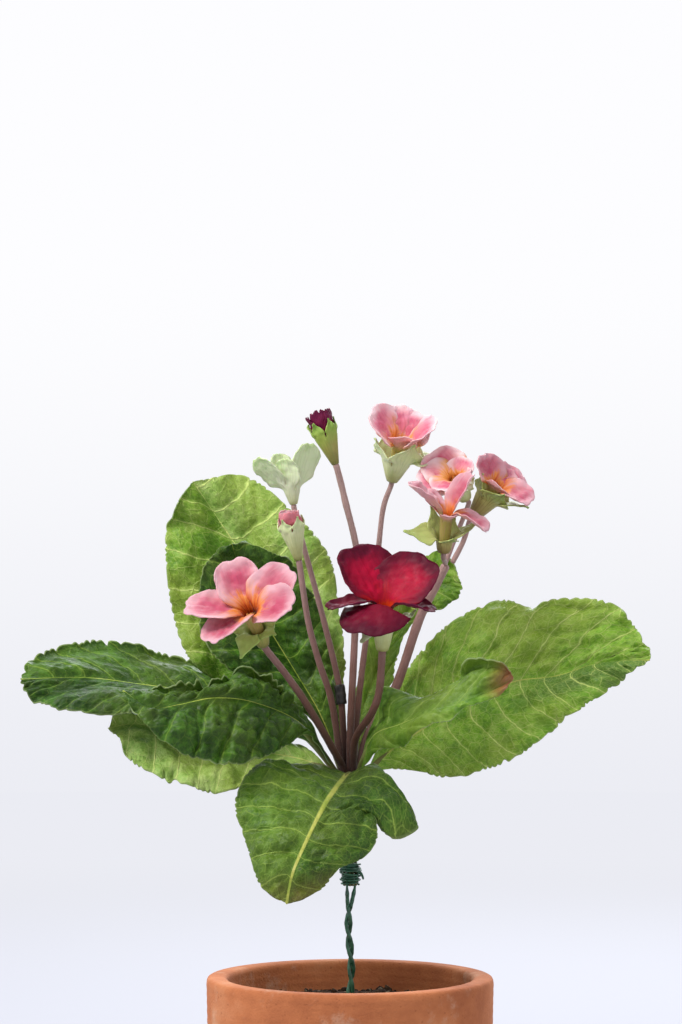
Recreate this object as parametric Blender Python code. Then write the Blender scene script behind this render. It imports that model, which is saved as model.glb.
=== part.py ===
"""An artificial primrose on a twisted wire stem, standing in a plain clay pot.

Sizes are in millimetres and are turned to metres when a mesh is made. X runs to the right, Y away
from the viewer and Z up. The pot's foot is centred on the origin. Plant places are measured from
the crown, where the leaves and flower stems part, and are lifted to their height at the end.
"""

import math
from collections import namedtuple

import bmesh
import bpy
import numpy as np
from mathutils import Matrix, Vector

MM = 0.001

# The pot and the soil
POT_HEIGHT = 85.0
POT_FOOT_RADIUS = 33.0
POT_RIM_RADIUS = 48.0
POT_RIM_BAND = 18.0
POT_RIM_PROUD = 3.0
POT_WALL = 4.0
POT_FLOOR = 5.0
POT_FOOT_WALL = 3.2
POT_BAND_TAPER = 0.4
POT_EDGE = 1.2
POT_SHARP_DEG = 35.0
SOIL_BELOW_RIM = 8.0
SOIL_MOUND = 1.5
SOIL_SIDE_AIR = 0.1
SOIL_SHOULDER_SHARE = 0.7
SOIL_CROWN_SHARE = 0.35
POT_SEGMENTS = 28

# Touching pieces keep this much air between them
GAP = 0.3

# The wires under the crown
CROWN_ABOVE_SOIL = 78.3
WIRE_RADIUS = 0.55
WIRE_TWIST_RADIUS = WIRE_RADIUS + GAP / 2
WIRE_TWIST_PITCH = 15.0
WIRE_INTO_SOIL = 48.0
WIRE_STEPS = 34
WIRE_BEND = 0.55
WIRE_BEND_HALF_WAVES = 2.2
WIRE_JOIN_LENGTH = 6.5
WIRE_SLOTS = (1, 8)
BINDING_TOP = -31.0
BINDING_BOTTOM = -40.0
BINDING_WIRE_RADIUS = 0.35
BINDING_OVERRUN = 0.6
BINDING_TURNS = 7
BINDING_STEPS_PER_TURN = 9

# The bundle of stem and leaf wires: one in the middle, six round it, then up to twelve
BUNDLE_PITCH = 1.0
BUNDLE_ROD_RADIUS = 0.35
CROWN_SPREAD = 2.7
CROWN_SPREAD_POWER = 1.3
ROD_GROWTH = 0.44
CROWN_Z = -3.0
CONE_HEIGHTS = (-24.0, -17.0, -10.0)
RING_SLOTS = {1: 6, 2: 12}

LEAF_THICKNESS = 0.55
LEAF_ACROSS = 7
LEAF_STATIONS = 13
LEAF_TIP_CROWDING = 1.15
LEAF_END = 0.985
LEAF_STALK_STATIONS = 3
LEAF_OPENS_AT = 0.1
LEAF_FULL_AT = 0.3
LEAF_FLAT_TIP = 0.2
PETIOLE_RADIUS = 1.1
SPLINE_STEPS = 12

STEM_STEPS = 19
PEDICEL_STEPS = 5
STEM_SPLINE_STEPS = 8
STEM_END = 1.5
SLEEVE_FROM = 20.0
SLEEVE_TO = 26.6
SLEEVE_WALL = 0.7
SLEEVE_SEGMENTS = 12

# Flowers: the cup of a whorl, the turn of its lobes, and the heads in it
PETAL_THICKNESS = 0.35
CALYX_THICKNESS = 0.35
TUBE_RADIUS = 1.5
CALYX_FOOT_RADIUS = 1.3
CUP_FOOT_SHARE = 0.85
CUP_FLARE_SHARE = 0.25
CUP_FLARE_HEIGHT = 0.3
LOBE_TURN = 0.32
LOBE_FREE_AT = 0.4
LOBE_FINE_STEPS = 64
HEAD_WIDEST_HIGH = 1.25
HEAD_BLUNTNESS = 0.7
HEAD_AROUND = 10
HEAD_ROWS = 5
BUD_RIDGES = 0.06
STAMENS_ABOVE_THROAT = 1.2

Leaf = namedtuple("Leaf", "name slot mid minus plus arch tint")
Stem = namedtuple("Stem", "name ring slot route radius tip_radius")
Lobe = namedtuple("Lobe", "azimuth opening curl length half_width cup fold lean", defaults=(0.0, 0.0, 0.0))
Flower = namedtuple("Flower", "name stem axis tube throat petals calyx_height calyx_radius sepals tint")
Bud = namedtuple("Bud", "name stem axis calyx_height calyx_radius sepals head_from head_to head_radius tint")

# A whorl is a cup with lobes on its rim. Its lobes' widths are shares of the widest, and the places
# along them shares of their length.
Cup = namedtuple("Cup", "foot throat height")
Outline = namedtuple("Outline", "rim_width widest_at narrows_from end_width notch rounding cells rows")
PETAL = Outline(0.3, 0.65, 0.7, 0.85, 0.10, 0.30, 4, 4)
SEPAL = Outline(0.6, 0.4, 0.4, 0.15, 0.0, 0.1, 2, 3)
BLUNT_SEPAL = Outline(0.3, 0.65, 0.7, 0.85, 0.10, 0.30, 2, 3)
NOTCH_WIDTH = 0.3
ROUNDING_POWER = 2.5

# Each leaf has three lines of points from the crown outwards: its midrib, and its edges on the two
# sides of it. The midrib's last point is the tip, where the edges meet it.
LEAVES = (
    Leaf("leaf_back_left", 3,
         [(-9.5, 15, 19), (-18.5, 21, 37), (-28, 25, 54.5), (-38, 28, 71.5), (-46, 28, 83.5),
          (-53.5, 25, 95)],
         [(-11, 15, 17), (-26.5, 18, 21.5), (-52, 18, 31.5), (-60.5, 22, 51), (-63, 25, 75),
          (-60.5, 26, 87.5)],
         [(-2, 14, 24.5), (-1.5, 17, 36), (-4, 22, 54.5), (-7.5, 26, 70.5), (-20.5, 28, 85.5),
          (-35.5, 28, 96.5)],
         2.0, "leaf_light"),
    Leaf("leaf_inner_left", 4,
         [(-10, 8, 16), (-18.5, 13, 30.5), (-27, 15, 44.5), (-33.5, 13, 57.5), (-37.5, 9, 67),
          (-39.5, 2, 74)],
         [(-12.5, 6, 14), (-29.5, 6, 24.5), (-46, 6, 36), (-51, 6, 51), (-49, 4, 66.5)],
         [(-4.5, 9, 20.5), (-6, 11, 36), (-9.5, 12, 50.5), (-15, 10, 61), (-23.5, 5, 70.5)],
         2.0, "leaf_dark"),
    Leaf("leaf_left", 5,
         [(-17.5, 6, 12), (-37, 11, 19.5), (-54, 13, 23.5), (-70.5, 12, 26), (-89, 8, 28.5),
          (-110, -1, 28.5)],
         [(-16, 2, 9), (-35, -3, 14), (-53, -7, 16.5), (-74.5, -9, 19.5), (-92, -9, 19), (-106, -5, 22)],
         [(-20, 8, 15), (-42, 16, 22), (-55, 24, 32.5), (-75, 26, 37), (-94.5, 23, 38), (-107.5, 10, 34)],
         2.0, "leaf_dark"),
    Leaf("leaf_left_lower", 6,
         [(-16.5, 3, 1.5), (-32, 7, 4), (-47, 10, 7), (-62, 10, 10.5), (-72, 8, 13), (-81, 3, 12)],
         [(-15, 0, -2.5), (-29.5, -3, -7), (-42.5, -5, -8.5), (-56.5, -5, -5.5), (-70, -3, -0.5)],
         [(-15, 5, 5.5), (-29.5, 9, 9.5), (-47, 13, 13.5), (-64, 14, 18), (-76.5, 12, 20)],
         1.5, "leaf_light"),
    Leaf("leaf_front_left", 7,
         [(-16, -12, 13.5), (-31, -20, 21.5), (-44, -26, 23.5), (-55.5, -30, 21.5), (-65, -32, 20.5),
          (-74, -32, 26.5)],
         [(-14, -15, 10.5), (-23, -24, 6.5), (-35.5, -33, 2), (-47, -37, 4), (-57.5, -38, 8),
          (-68.5, -36, 16.5)],
         [(-15.5, -7, 16.5), (-23, -10, 24), (-34, -13, 31), (-47.5, -18, 26), (-62, -24, 26)],
         2.5, "leaf_dark"),
    Leaf("leaf_front", 9,
         [(-2.5, -17, -4), (-7.5, -30, -9.5), (-11.5, -38, -16.5), (-16, -43, -25.5), (-19, -46, -33),
          (-20.5, -46, -41.5)],
         [(8, -12, 1), (13.5, -20, -4.5), (22, -26, -18.5), (14, -29, -21.5), (8.5, -29, -13.5),
          (8.5, -34, -21.5), (4, -37, -27.5), (-3.5, -40, -30.5), (-9, -43, -37)],
         [(-13.5, -9, 0.5), (-30, -19, 0.5), (-37.5, -31, -9), (-33.5, -39, -23), (-28, -43, -36)],
         1.5, "leaf_dark"),
    Leaf("leaf_back_right", 2,
         [(3.5, 13, 14), (8, 19, 27.5), (14.5, 24, 41), (21, 27, 52.5), (29, 27, 61), (37, 22, 62.5)],
         [(2, 13, 13.5), (2.5, 16, 27.5), (4.5, 20, 42.5), (11.5, 24, 58), (25.5, 26, 69.5),
          (34, 24, 70.5)],
         [(6, 12, 13), (14, 15, 25), (17.5, 19, 38.5), (23.5, 22, 48.5), (32.5, 22, 51.5), (37.5, 20, 56)],
         1.5, "leaf_light"),
    Leaf("leaf_young_right", 10,
         [(8, -12, 10), (16.5, -21, 14.5), (26, -28, 18.5), (35, -32, 22), (44.5, -33, 25.5),
          (53.5, -28, 30)],
         [(8.5, -3, 18), (11.5, -5, 26), (26, -18, 22.5), (36.5, -23, 29), (44.5, -26, 35),
          (50.5, -28, 34.5)],
         [(9, -15, 5.5), (17, -24, 8), (26.5, -34, 16.5), (36.5, -38, 20), (47.5, -36, 24)],
         1.5, "leaf_dark"),
    Leaf("leaf_right", 0,
         [(14, 8, 4.5), (27.5, 12, 13), (42, 14, 21.5), (55.5, 15, 27), (70, 14, 29), (84, 9, 33.5),
          (100.5, 1, 35)],
         [(14, 11, 17), (18, 13, 29), (30, 16, 44), (47.5, 18, 54), (66, 17, 55.5), (88.5, 13, 53.5),
          (99, 6, 41.5)],
         [(15.5, 5, -1.5), (30, 3, -4), (45.5, 2, -2), (60, 3, 6), (74.5, 4, 16), (90.5, 4, 27.5)],
         2.0, "leaf_light"),
)

# Each flower stem runs from its place in the bundle through its route.
STEMS = (
    Stem("stem_pink_bud", 1, 3,
         [(-6.0, 0.0, 20.5), (-10.5, -2.0, 35.0), (-14.0, -4.0, 48.5), (-17.0, -6.0, 68.0)],
         1.15, 1.0),
    Stem("stem_empty_calyx", 1, 2,
         [(-2.8, 4.0, 19.5), (-4.2, 5.0, 29.0), (-9.0, 4.0, 49.0), (-15.5, 2.0, 73.0), (-18.7, 0.0, 86.5)],
         1.1, 0.9),
    Stem("stem_dark_bud", 0, 0,
         [(0.2, 1.0, 13.0), (1.7, 6.0, 44.5), (2.7, 11.0, 68.0), (-1.7, 12.0, 88.5), (-4.7, 10.0, 100.0)],
         1.25, 1.1),
    Stem("stem_top_flower", 1, 1,
         [(2.2, 6.5, 14.5), (5.6, 14.0, 43.0), (9.2, 18.5, 68.0), (11.2, 20.0, 85.0), (14.2, 20.0, 94.5)],
         1.1, 0.9),
    Stem("stem_dark_flower", 1, 5,
         [(1.6, -4.2, 8.4), (7.2, -12.0, 18.2), (9.6, -13.5, 25.5), (10.6, -14.0, 38.5)],
         1.25, 1.25),
    Stem("stem_umbel", 1, 0,
         [(6.0, 3.0, 9.7), (15.1, 7.0, 25.0), (23.2, 10.0, 48.0), (29.0, 10.0, 60.0), (32.0, 10.0, 66.0)],
         1.6, 1.5),
    Stem("stem_front_flower", 1, 4,
         [(-6.5, -9.5, 7.4), (-14.5, -20.0, 21.7), (-21.3, -26.0, 31.8), (-28.0, -30.0, 41.0)],
         1.25, 1.15),
)

# The three short stems that leave the head of the umbel stem
PEDICELS = (
    Stem("pedicel_star", None, None,
         [(32.0, 9.0, 67.3), (31.4, 1.5, 68.4), (31.1, -4.0, 70.6)], 0.9, 0.9),
    Stem("pedicel_middle", None, None,
         [(32.4, 10.4, 67.8), (36.0, 12.0, 77.0), (39.2, 10.6, 88.2)], 0.8, 0.8),
    Stem("pedicel_outer", None, None,
         [(34.6, 10.4, 67.6), (38.2, 12.6, 74.5), (41.3, 15.0, 82.5)], 0.9, 0.9),
)


def five(openings, curl, length, half_width, cup=0.10, fold=0.0, start=36.0):
    """Five even lobes that differ only in how far each one opens."""
    return tuple(
        Lobe(start + 72.0 * index, opening, curl, length, half_width, cup, fold)
        for index, opening in enumerate(openings)
    )


# Azimuth 0 is the side of the flower towards the viewer, and 90 its right side.
FLOWERS = (
    Flower("front", "stem_front_flower", (-0.30, -0.60, 0.74), 12.0, 2.4,
           (Lobe(58, 76, 0, 18.5, 8.0, 0.14), Lobe(106, 78, 0, 20.5, 9.0, 0.10),
            Lobe(172, 62, 0, 19.5, 8.2, 0.10), Lobe(254, 80, 0, 22.0, 9.5, 0.10),
            Lobe(312, 80, 0, 19.0, 9.5, 0.10)),
           6.0, 3.0, (Lobe(35, 85, 10, 7.0, 3.6), Lobe(100, 80, 10, 7.0, 3.6), Lobe(175, 80, 10, 7.0, 3.6),
                      Lobe(245, 85, 10, 8.0, 3.8), Lobe(318, 104, 10, 11.0, 4.6)), "pink"),
    Flower("dark", "stem_dark_flower", (0.05, -0.22, 0.97), 13.0, 2.6,
           (Lobe(80, 94, 6, 17.0, 5.5, 0.15), Lobe(124, 50, 0, 24.0, 11.0, 0.14),
            Lobe(220, 42, 0, 24.5, 13.0, 0.14), Lobe(284, 96, 6, 20.0, 5.2, 0.15),
            Lobe(335, 116, 15, 20.5, 11.5, -0.10)),
           7.0, 3.2, five((50, 42, 40, 60, 62), 0, 8.5, 4.2), "dark"),
    Flower("top", "stem_top_flower", (0.20, -0.35, 0.91), 12.0, 2.4,
           (Lobe(0, 96, 0, 7.0, 4.5, 0.10), Lobe(72, 48, 0, 13.0, 7.6, 0.14),
            Lobe(142, 44, 0, 14.0, 7.4, 0.12), Lobe(212, 42, 0, 14.0, 8.0, 0.12),
            Lobe(290, 60, 0, 15.0, 8.8, 0.14)),
           6.0, 4.0, (Lobe(28, 62, 0, 8.0, 5.6), Lobe(96, 106, 0, 14.0, 6.4), Lobe(150, 44, 0, 10.5, 6.0),
                      Lobe(225, 20, 0, 6.0, 4.6), Lobe(300, 26, 0, 6.0, 4.6)), "pink"),
    Flower("middle", "pedicel_middle", (-0.45, -0.35, 0.82), 7.5, 2.2,
           (Lobe(40, 80, 0, 6.0, 4.5, 0.10), Lobe(110, 58, 0, 6.5, 5.0, 0.14),
            Lobe(196, 48, 0, 13.5, 7.8, 0.12), Lobe(262, 72, 0, 12.5, 7.6, 0.12),
            Lobe(320, 86, 0, 9.0, 7.0, 0.12)),
           3.5, 2.8, five((98, 92, 75, 80, 92), 0, 4.0, 2.8), "pink"),
    Flower("outer", "pedicel_outer", (0.60, -0.20, 0.77), 11.0, 2.3,
           (Lobe(10, 70, 0, 7.0, 5.0, 0.10), Lobe(80, 66, 14, 12.0, 7.4, 0.12),
            Lobe(155, 56, 10, 13.5, 7.6, 0.12), Lobe(225, 56, 0, 11.0, 6.6, 0.12),
            Lobe(304, 64, 0, 12.0, 7.0, 0.12)),
           6.5, 3.5, (Lobe(20, 44, 10, 9.0, 5.8), Lobe(85, 46, 36, 12.0, 6.0), Lobe(150, 40, 0, 9.0, 5.0),
                      Lobe(225, 34, 0, 7.0, 4.0), Lobe(298, 30, 0, 8.0, 5.0)), "pink"),
    Flower("star", "pedicel_star", (0.06, -0.26, 0.96), 10.5, 1.9,
           (Lobe(15, 62, 0, 6.0, 3.0, 0.10, 0.2), Lobe(72, 104, 24, 15.5, 4.6, 0.10, 0.30),
            Lobe(118, 30, 0, 18.0, 4.6, 0.10, 0.45), Lobe(232, 60, 0, 13.0, 4.2, 0.10, 0.30),
            Lobe(278, 52, 0, 18.0, 4.8, 0.10, 0.35)),
           3.0, 2.6, (Lobe(20, 64, 0, 6.5, 3.6), Lobe(96, 54, 0, 12.5, 5.0), Lobe(155, 36, 0, 9.0, 4.0),
                      Lobe(216, 34, 0, 12.5, 4.2), Lobe(284, 84, 0, 13.5, 5.4, 0.1, 0.0, -0.5)), "pink"),
)

# Buds and the calyx that has lost its flower: a closed calyx with a crumpled head in it, or none
BUDS = (
    Bud("dark_bud", "stem_dark_bud", (-0.32, -0.05, 0.94), 9.5, 3.7,
        five((6, 10, 8, 4, 4), 0, 6.0, 2.6), 7.0, 20.0, 3.5, "dark"),
    Bud("pink_bud", "stem_pink_bud", (-0.20, -0.08, 0.98), 9.5, 3.7,
        five((6, 8, 8, 4, 6), 0, 5.0, 2.6), 6.5, 18.0, 3.2, "pink"),
    Bud("empty_calyx", "stem_empty_calyx", (-0.13, -0.03, 0.99), 4.0, 2.4,
        (Lobe(356, 12, 0, 12.5, 3.6, 0.05, 0.1), Lobe(72, 22, 0, 15.5, 4.0, 0.05, 0.1),
         Lobe(145, 14, 0, 13.0, 3.6, 0.05, 0.1), Lobe(212, 26, 0, 13.0, 3.8, 0.05, 0.1),
         Lobe(284, 38, 0, 14.5, 4.2, 0.05, 0.1)),
        None, None, None, None),
)

MATERIALS = {
    "pot_clay": ((0.56, 0.27, 0.16), 0.85, 0.0),
    "soil": ((0.045, 0.030, 0.020), 0.95, 0.0),
    "wire_green": ((0.012, 0.085, 0.045), 0.40, 0.0),
    "sleeve_black": ((0.010, 0.008, 0.008), 0.45, 0.0),
    "leaf_light": ((0.22, 0.40, 0.08), 0.60, 0.0),
    "leaf_dark": ((0.09, 0.22, 0.03), 0.60, 0.0),
    "stem": ((0.22, 0.10, 0.09), 0.55, 0.0),
    "calyx": ((0.52, 0.58, 0.30), 0.65, 0.0),
    "corolla_pink": ((0.80, 0.33, 0.42), 0.65, 0.0),
    "corolla_dark": ((0.28, 0.004, 0.030), 0.60, 0.0),
    "eye": ((0.62, 0.25, 0.04), 0.70, 0.0),
}


def clear_scene():
    for obj in list(bpy.data.objects):
        bpy.data.objects.remove(obj, do_unlink=True)


def make_materials():
    """One Principled material for each finish."""
    made = {}
    for name, (colour, roughness, metallic) in MATERIALS.items():
        material = bpy.data.materials.new(name)
        material.use_nodes = True
        shader = material.node_tree.nodes["Principled BSDF"]
        shader.inputs["Base Color"].default_value = (*colour, 1.0)
        shader.inputs["Roughness"].default_value = roughness
        shader.inputs["Metallic"].default_value = metallic
        made[name] = material
    return made


def unit(vector):
    vector = np.asarray(vector, float)
    return vector / np.linalg.norm(vector)


def smooth_step(value):
    value = np.clip(value, 0.0, 1.0)
    return value * value * (3.0 - 2.0 * value)


def spline(points, steps_per_span=SPLINE_STEPS):
    """A smooth curve through the points, by Catmull and Rom's rule, with its ends continued straight."""
    points = np.asarray(points, float)
    ends = [2 * points[0] - points[1], *points, 2 * points[-1] - points[-2]]
    curve = []
    for before, start, end, after in zip(ends, ends[1:], ends[2:], ends[3:]):
        for t in np.linspace(0.0, 1.0, steps_per_span, endpoint=False):
            curve.append(
                0.5 * (2 * start + (end - before) * t + (2 * before - 5 * start + 4 * end - after) * t * t
                       + (3 * start - before - 3 * end + after) * t ** 3)
            )
    curve.append(points[-1])
    return np.array(curve)


def along(curve, shares):
    """The points at the given shares of a curve's length, and the curve's length."""
    lengths = np.concatenate([[0.0], np.cumsum(np.linalg.norm(np.diff(curve, axis=0), axis=1))])
    wanted = np.asarray(shares) * lengths[-1]
    return np.stack([np.interp(wanted, lengths, curve[:, i]) for i in range(3)], axis=1), lengths[-1]


def cone_spread(z):
    """How much wider the bundle is at height z than inside the binding."""
    rise = max(0.0, (z - BINDING_TOP) / (CROWN_Z - BINDING_TOP))
    return 1.0 + (CROWN_SPREAD - 1.0) * rise ** CROWN_SPREAD_POWER


def cone_point(ring, slot, z):
    """Where a wire of the bundle is at height z."""
    if not ring:
        return (0.0, 0.0, z)
    angle = 2.0 * math.pi * slot / RING_SLOTS[ring]
    radius = ring * BUNDLE_PITCH * cone_spread(z)
    return (radius * math.cos(angle), radius * math.sin(angle), z)


def bundle_route(ring, slot):
    """A wire's way up through the bundle, from under the binding to the crown."""
    bound = (BINDING_BOTTOM, (BINDING_BOTTOM + BINDING_TOP) / 2, BINDING_TOP)
    return [cone_point(ring, slot, z) for z in (*bound, *CONE_HEIGHTS, CROWN_Z)]


def rod_radius(z, full):
    """The wire's radius inside the bundle, which grows with the cone until it is the stem's own."""
    return min(full, BUNDLE_ROD_RADIUS + (cone_spread(z) - 1.0) * ROD_GROWTH)


def new_object(name, mesh, material):
    obj = bpy.data.objects.new(name, mesh)
    bpy.context.scene.collection.objects.link(obj)
    mesh.materials.append(material)
    return obj


def mesh_object(name, points, faces, material, lift):
    """A smooth shaded mesh object from millimetre points, raised by lift."""
    placed = (np.asarray(points) + (0.0, 0.0, lift)) * MM
    mesh = bpy.data.meshes.new(name)
    mesh.from_pydata(placed.tolist(), [], faces)
    mesh.validate()
    mesh.shade_smooth()
    return new_object(name, mesh, material)


def tube_object(name, points, radii, material, lift, resolution=1):
    """A round rod along the points, as a curve with a bevel and filled caps."""
    curve = bpy.data.curves.new(name, "CURVE")
    curve.dimensions = "3D"
    curve.bevel_depth = MM
    curve.bevel_resolution = resolution
    curve.use_fill_caps = True
    route = curve.splines.new("POLY")
    route.points.add(len(points) - 1)
    for knot, point, radius in zip(route.points, points, radii):
        knot.co = (*(Vector(point) + Vector((0.0, 0.0, lift))) * MM, 1.0)
        knot.radius = radius
    curve.materials.append(material)
    obj = bpy.data.objects.new(name, curve)
    bpy.context.scene.collection.objects.link(obj)
    return obj


def turned_object(name, profile, segments, material):
    """A profile of (radius, height) points, from the axis to the axis, spun once round Z."""
    work = bmesh.new()
    corners = [work.verts.new((radius * MM, 0.0, height * MM)) for radius, height in profile]
    edges = [work.edges.new(pair) for pair in zip(corners, corners[1:])]
    bmesh.ops.spin(
        work, geom=corners + edges, axis=(0, 0, 1), cent=(0, 0, 0),
        steps=segments, angle=2 * math.pi, use_merge=True,
    )
    bmesh.ops.remove_doubles(work, verts=work.verts, dist=0.01 * MM)
    bmesh.ops.recalc_face_normals(work, faces=work.faces)
    mesh = bpy.data.meshes.new(name)
    work.to_mesh(mesh)
    work.free()
    mesh.shade_smooth()
    mesh.set_sharp_from_angle(angle=math.radians(POT_SHARP_DEG))
    return new_object(name, mesh, material)


def make_pot(materials):
    """A plain tapered clay pot with a band round its rim and a solid floor."""
    rim_inside = POT_RIM_RADIUS - POT_RIM_PROUD - POT_WALL
    band_bottom = POT_HEIGHT - POT_RIM_BAND
    under_band = POT_RIM_RADIUS - POT_RIM_PROUD - POT_EDGE
    foot_inside = POT_FOOT_RADIUS - POT_FOOT_WALL
    profile = [
        (0.0, 0.0),
        (POT_FOOT_RADIUS - POT_EDGE, 0.0),
        (POT_FOOT_RADIUS, POT_EDGE),
        (under_band, band_bottom),
        (POT_RIM_RADIUS - POT_EDGE, band_bottom),
        (POT_RIM_RADIUS - POT_BAND_TAPER, band_bottom + POT_EDGE),
        (POT_RIM_RADIUS, POT_HEIGHT - POT_EDGE),
        (POT_RIM_RADIUS - POT_EDGE, POT_HEIGHT),
        (rim_inside + POT_EDGE, POT_HEIGHT),
        (rim_inside, POT_HEIGHT - POT_EDGE),
        (foot_inside, POT_FLOOR + POT_EDGE),
        (foot_inside - POT_EDGE, POT_FLOOR),
        (0.0, POT_FLOOR),
    ]
    return turned_object("pot", profile, POT_SEGMENTS, materials["pot_clay"])


def pot_inside_radius(height):
    """The radius of the pot's inner wall at a height."""
    rim_inside = POT_RIM_RADIUS - POT_RIM_PROUD - POT_WALL
    foot_inside = POT_FOOT_RADIUS - POT_FOOT_WALL
    share = (height - POT_FLOOR - POT_EDGE) / (POT_HEIGHT - POT_FLOOR - 2 * POT_EDGE)
    return foot_inside + (rim_inside - foot_inside) * share


def make_soil(materials):
    """The soil fills the pot to below its rim, is a little mounded, and is bored for the wires."""
    top = POT_HEIGHT - SOIL_BELOW_RIM
    floor = POT_FLOOR + GAP
    bore = WIRE_TWIST_RADIUS + WIRE_RADIUS + GAP
    corner = pot_inside_radius(POT_FLOOR + 2 * POT_EDGE) - GAP - POT_EDGE
    side = GAP / math.cos(math.pi / POT_SEGMENTS) + SOIL_SIDE_AIR
    edge_z = top - SOIL_MOUND
    profile = [
        (0.0, floor),
        (corner - POT_EDGE, floor),
        (corner, floor + POT_EDGE),
        (pot_inside_radius(edge_z) - side, edge_z),
        (pot_inside_radius(edge_z) * SOIL_SHOULDER_SHARE, top - SOIL_CROWN_SHARE * SOIL_MOUND),
        (pot_inside_radius(edge_z) * SOIL_CROWN_SHARE, top),
        (bore, top),
        (bore, top - WIRE_INTO_SOIL - GAP),
        (0.0, top - WIRE_INTO_SOIL - GAP),
    ]
    return turned_object("soil", profile, POT_SEGMENTS, materials["soil"])


def wire_axis(z):
    """Where the middle of the twisted wires is: bent a little above the soil, straight in it."""
    soil_z = -CROWN_ABOVE_SOIL
    if z <= soil_z:
        return 0.0
    share = (z - soil_z) / (BINDING_BOTTOM - soil_z)
    fade = math.sqrt(math.sin(math.pi * min(1.0, share)))
    return WIRE_BEND * math.sin(WIRE_BEND_HALF_WAVES * math.pi * share) * fade


def make_wires(materials, lift):
    """Two support wires leave the bundle, come together under it and twist down into the soil."""
    bottom = -CROWN_ABOVE_SOIL - WIRE_INTO_SOIL
    twist_top = BINDING_BOTTOM - WIRE_JOIN_LENGTH
    bound = (CONE_HEIGHTS[0], BINDING_TOP, (BINDING_TOP + BINDING_BOTTOM) / 2, BINDING_BOTTOM)
    first_turn = 2 * math.pi * WIRE_SLOTS[0] / RING_SLOTS[2]
    for name, slot, phase in zip(("support_wire_a", "support_wire_b"), WIRE_SLOTS, (0.0, math.pi)):
        points = [cone_point(2, slot, z) for z in bound]
        for z in np.linspace(twist_top, bottom, WIRE_STEPS):
            turn = phase + first_turn + 2 * math.pi * (twist_top - z) / WIRE_TWIST_PITCH
            x = wire_axis(z) + WIRE_TWIST_RADIUS * math.cos(turn)
            points.append((x, WIRE_TWIST_RADIUS * math.sin(turn), z))
        radii = [BUNDLE_ROD_RADIUS] * len(bound) + [WIRE_RADIUS] * WIRE_STEPS
        tube_object(name, points, radii, materials["wire_green"], lift)


def make_binding(materials, lift):
    """The fine wire wound round the bundle."""
    radius = 2 * BUNDLE_PITCH + BUNDLE_ROD_RADIUS + GAP + BINDING_WIRE_RADIUS
    steps = BINDING_TURNS * BINDING_STEPS_PER_TURN
    top = BINDING_TOP - BINDING_OVERRUN
    bottom = BINDING_BOTTOM + BINDING_OVERRUN
    points = []
    for step in range(steps + 1):
        share = step / steps
        turn = 2 * math.pi * BINDING_TURNS * share
        z = top + (bottom - top) * share
        points.append((radius * math.cos(turn), radius * math.sin(turn), z))
    radii = [BINDING_WIRE_RADIUS] * len(points)
    tube_object("binding_wire", points, radii, materials["wire_green"], lift, 0)


def stem_route(stem):
    """A stem's points, with the last bit turned the way its flower stands."""
    start = bundle_route(stem.ring, stem.slot) if stem.ring is not None else []
    heads = [head for head in FLOWERS + BUDS if head.stem == stem.name]
    ends = [tuple(np.array(stem.route[-1]) - unit(head.axis) * STEM_END) for head in heads]
    return start + stem.route[:-1] + ends + stem.route[-1:]


def head_base(head):
    """Where a flower or bud starts: a gap above the end of its stem."""
    stem = next(s for s in STEMS + PEDICELS if s.name == head.stem)
    return np.array(stem.route[-1]) + unit(head.axis) * (CALYX_THICKNESS / 2 + GAP)


def make_stem(stem, materials, lift):
    """A flower stem: thin in the bundle, full at the crown, a little thinner under its flower."""
    route = stem_route(stem)
    start = stem.ring is not None
    steps = STEM_STEPS if start else PEDICEL_STEPS
    curve = spline(route, STEM_SPLINE_STEPS)
    points, _ = along(curve, np.linspace(0.0, 1.0 - STEM_END / along(curve, [0.0])[1], steps))
    points = np.concatenate([points, curve[-1:]])
    top, bottom = points[-1][2], CROWN_Z
    radii = []
    for point in points:
        share = smooth_step((point[2] - bottom) / (top - bottom))
        full = stem.radius + (stem.tip_radius - stem.radius) * share
        radii.append(rod_radius(point[2], full) if start else full)
    return tube_object(stem.name, points.tolist(), radii, materials["stem"], lift)


def make_sleeve(materials, lift):
    """The short black tube round the stem of the empty calyx."""
    stem = next(s for s in STEMS if s.name == "stem_empty_calyx")
    curve = spline(stem_route(stem), STEM_SPLINE_STEPS)
    low = curve[np.argmin(abs(curve[:, 2] - SLEEVE_FROM))]
    high = curve[np.argmin(abs(curve[:, 2] - SLEEVE_TO))]
    inner = stem.radius + GAP
    outer = inner + SLEEVE_WALL
    length = np.linalg.norm(high - low)
    profile = [(inner, 0.0), (outer, 0.0), (outer, length), (inner, length), (inner, 0.0)]
    obj = turned_object("stem_sleeve", profile, SLEEVE_SEGMENTS, materials["sleeve_black"])
    turn = Vector((0, 0, 1)).rotation_difference(Vector(high - low)).to_matrix().to_4x4()
    place = Matrix.Translation((Vector(low) + Vector((0, 0, lift))) * MM)
    obj.data.transform(place @ turn)
    return obj


def at_share(curve, share):
    """The point at a share of a curve's count of points."""
    index = share * (len(curve) - 1)
    return np.array([np.interp(index, np.arange(len(curve)), curve[:, i]) for i in range(3)])


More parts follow.
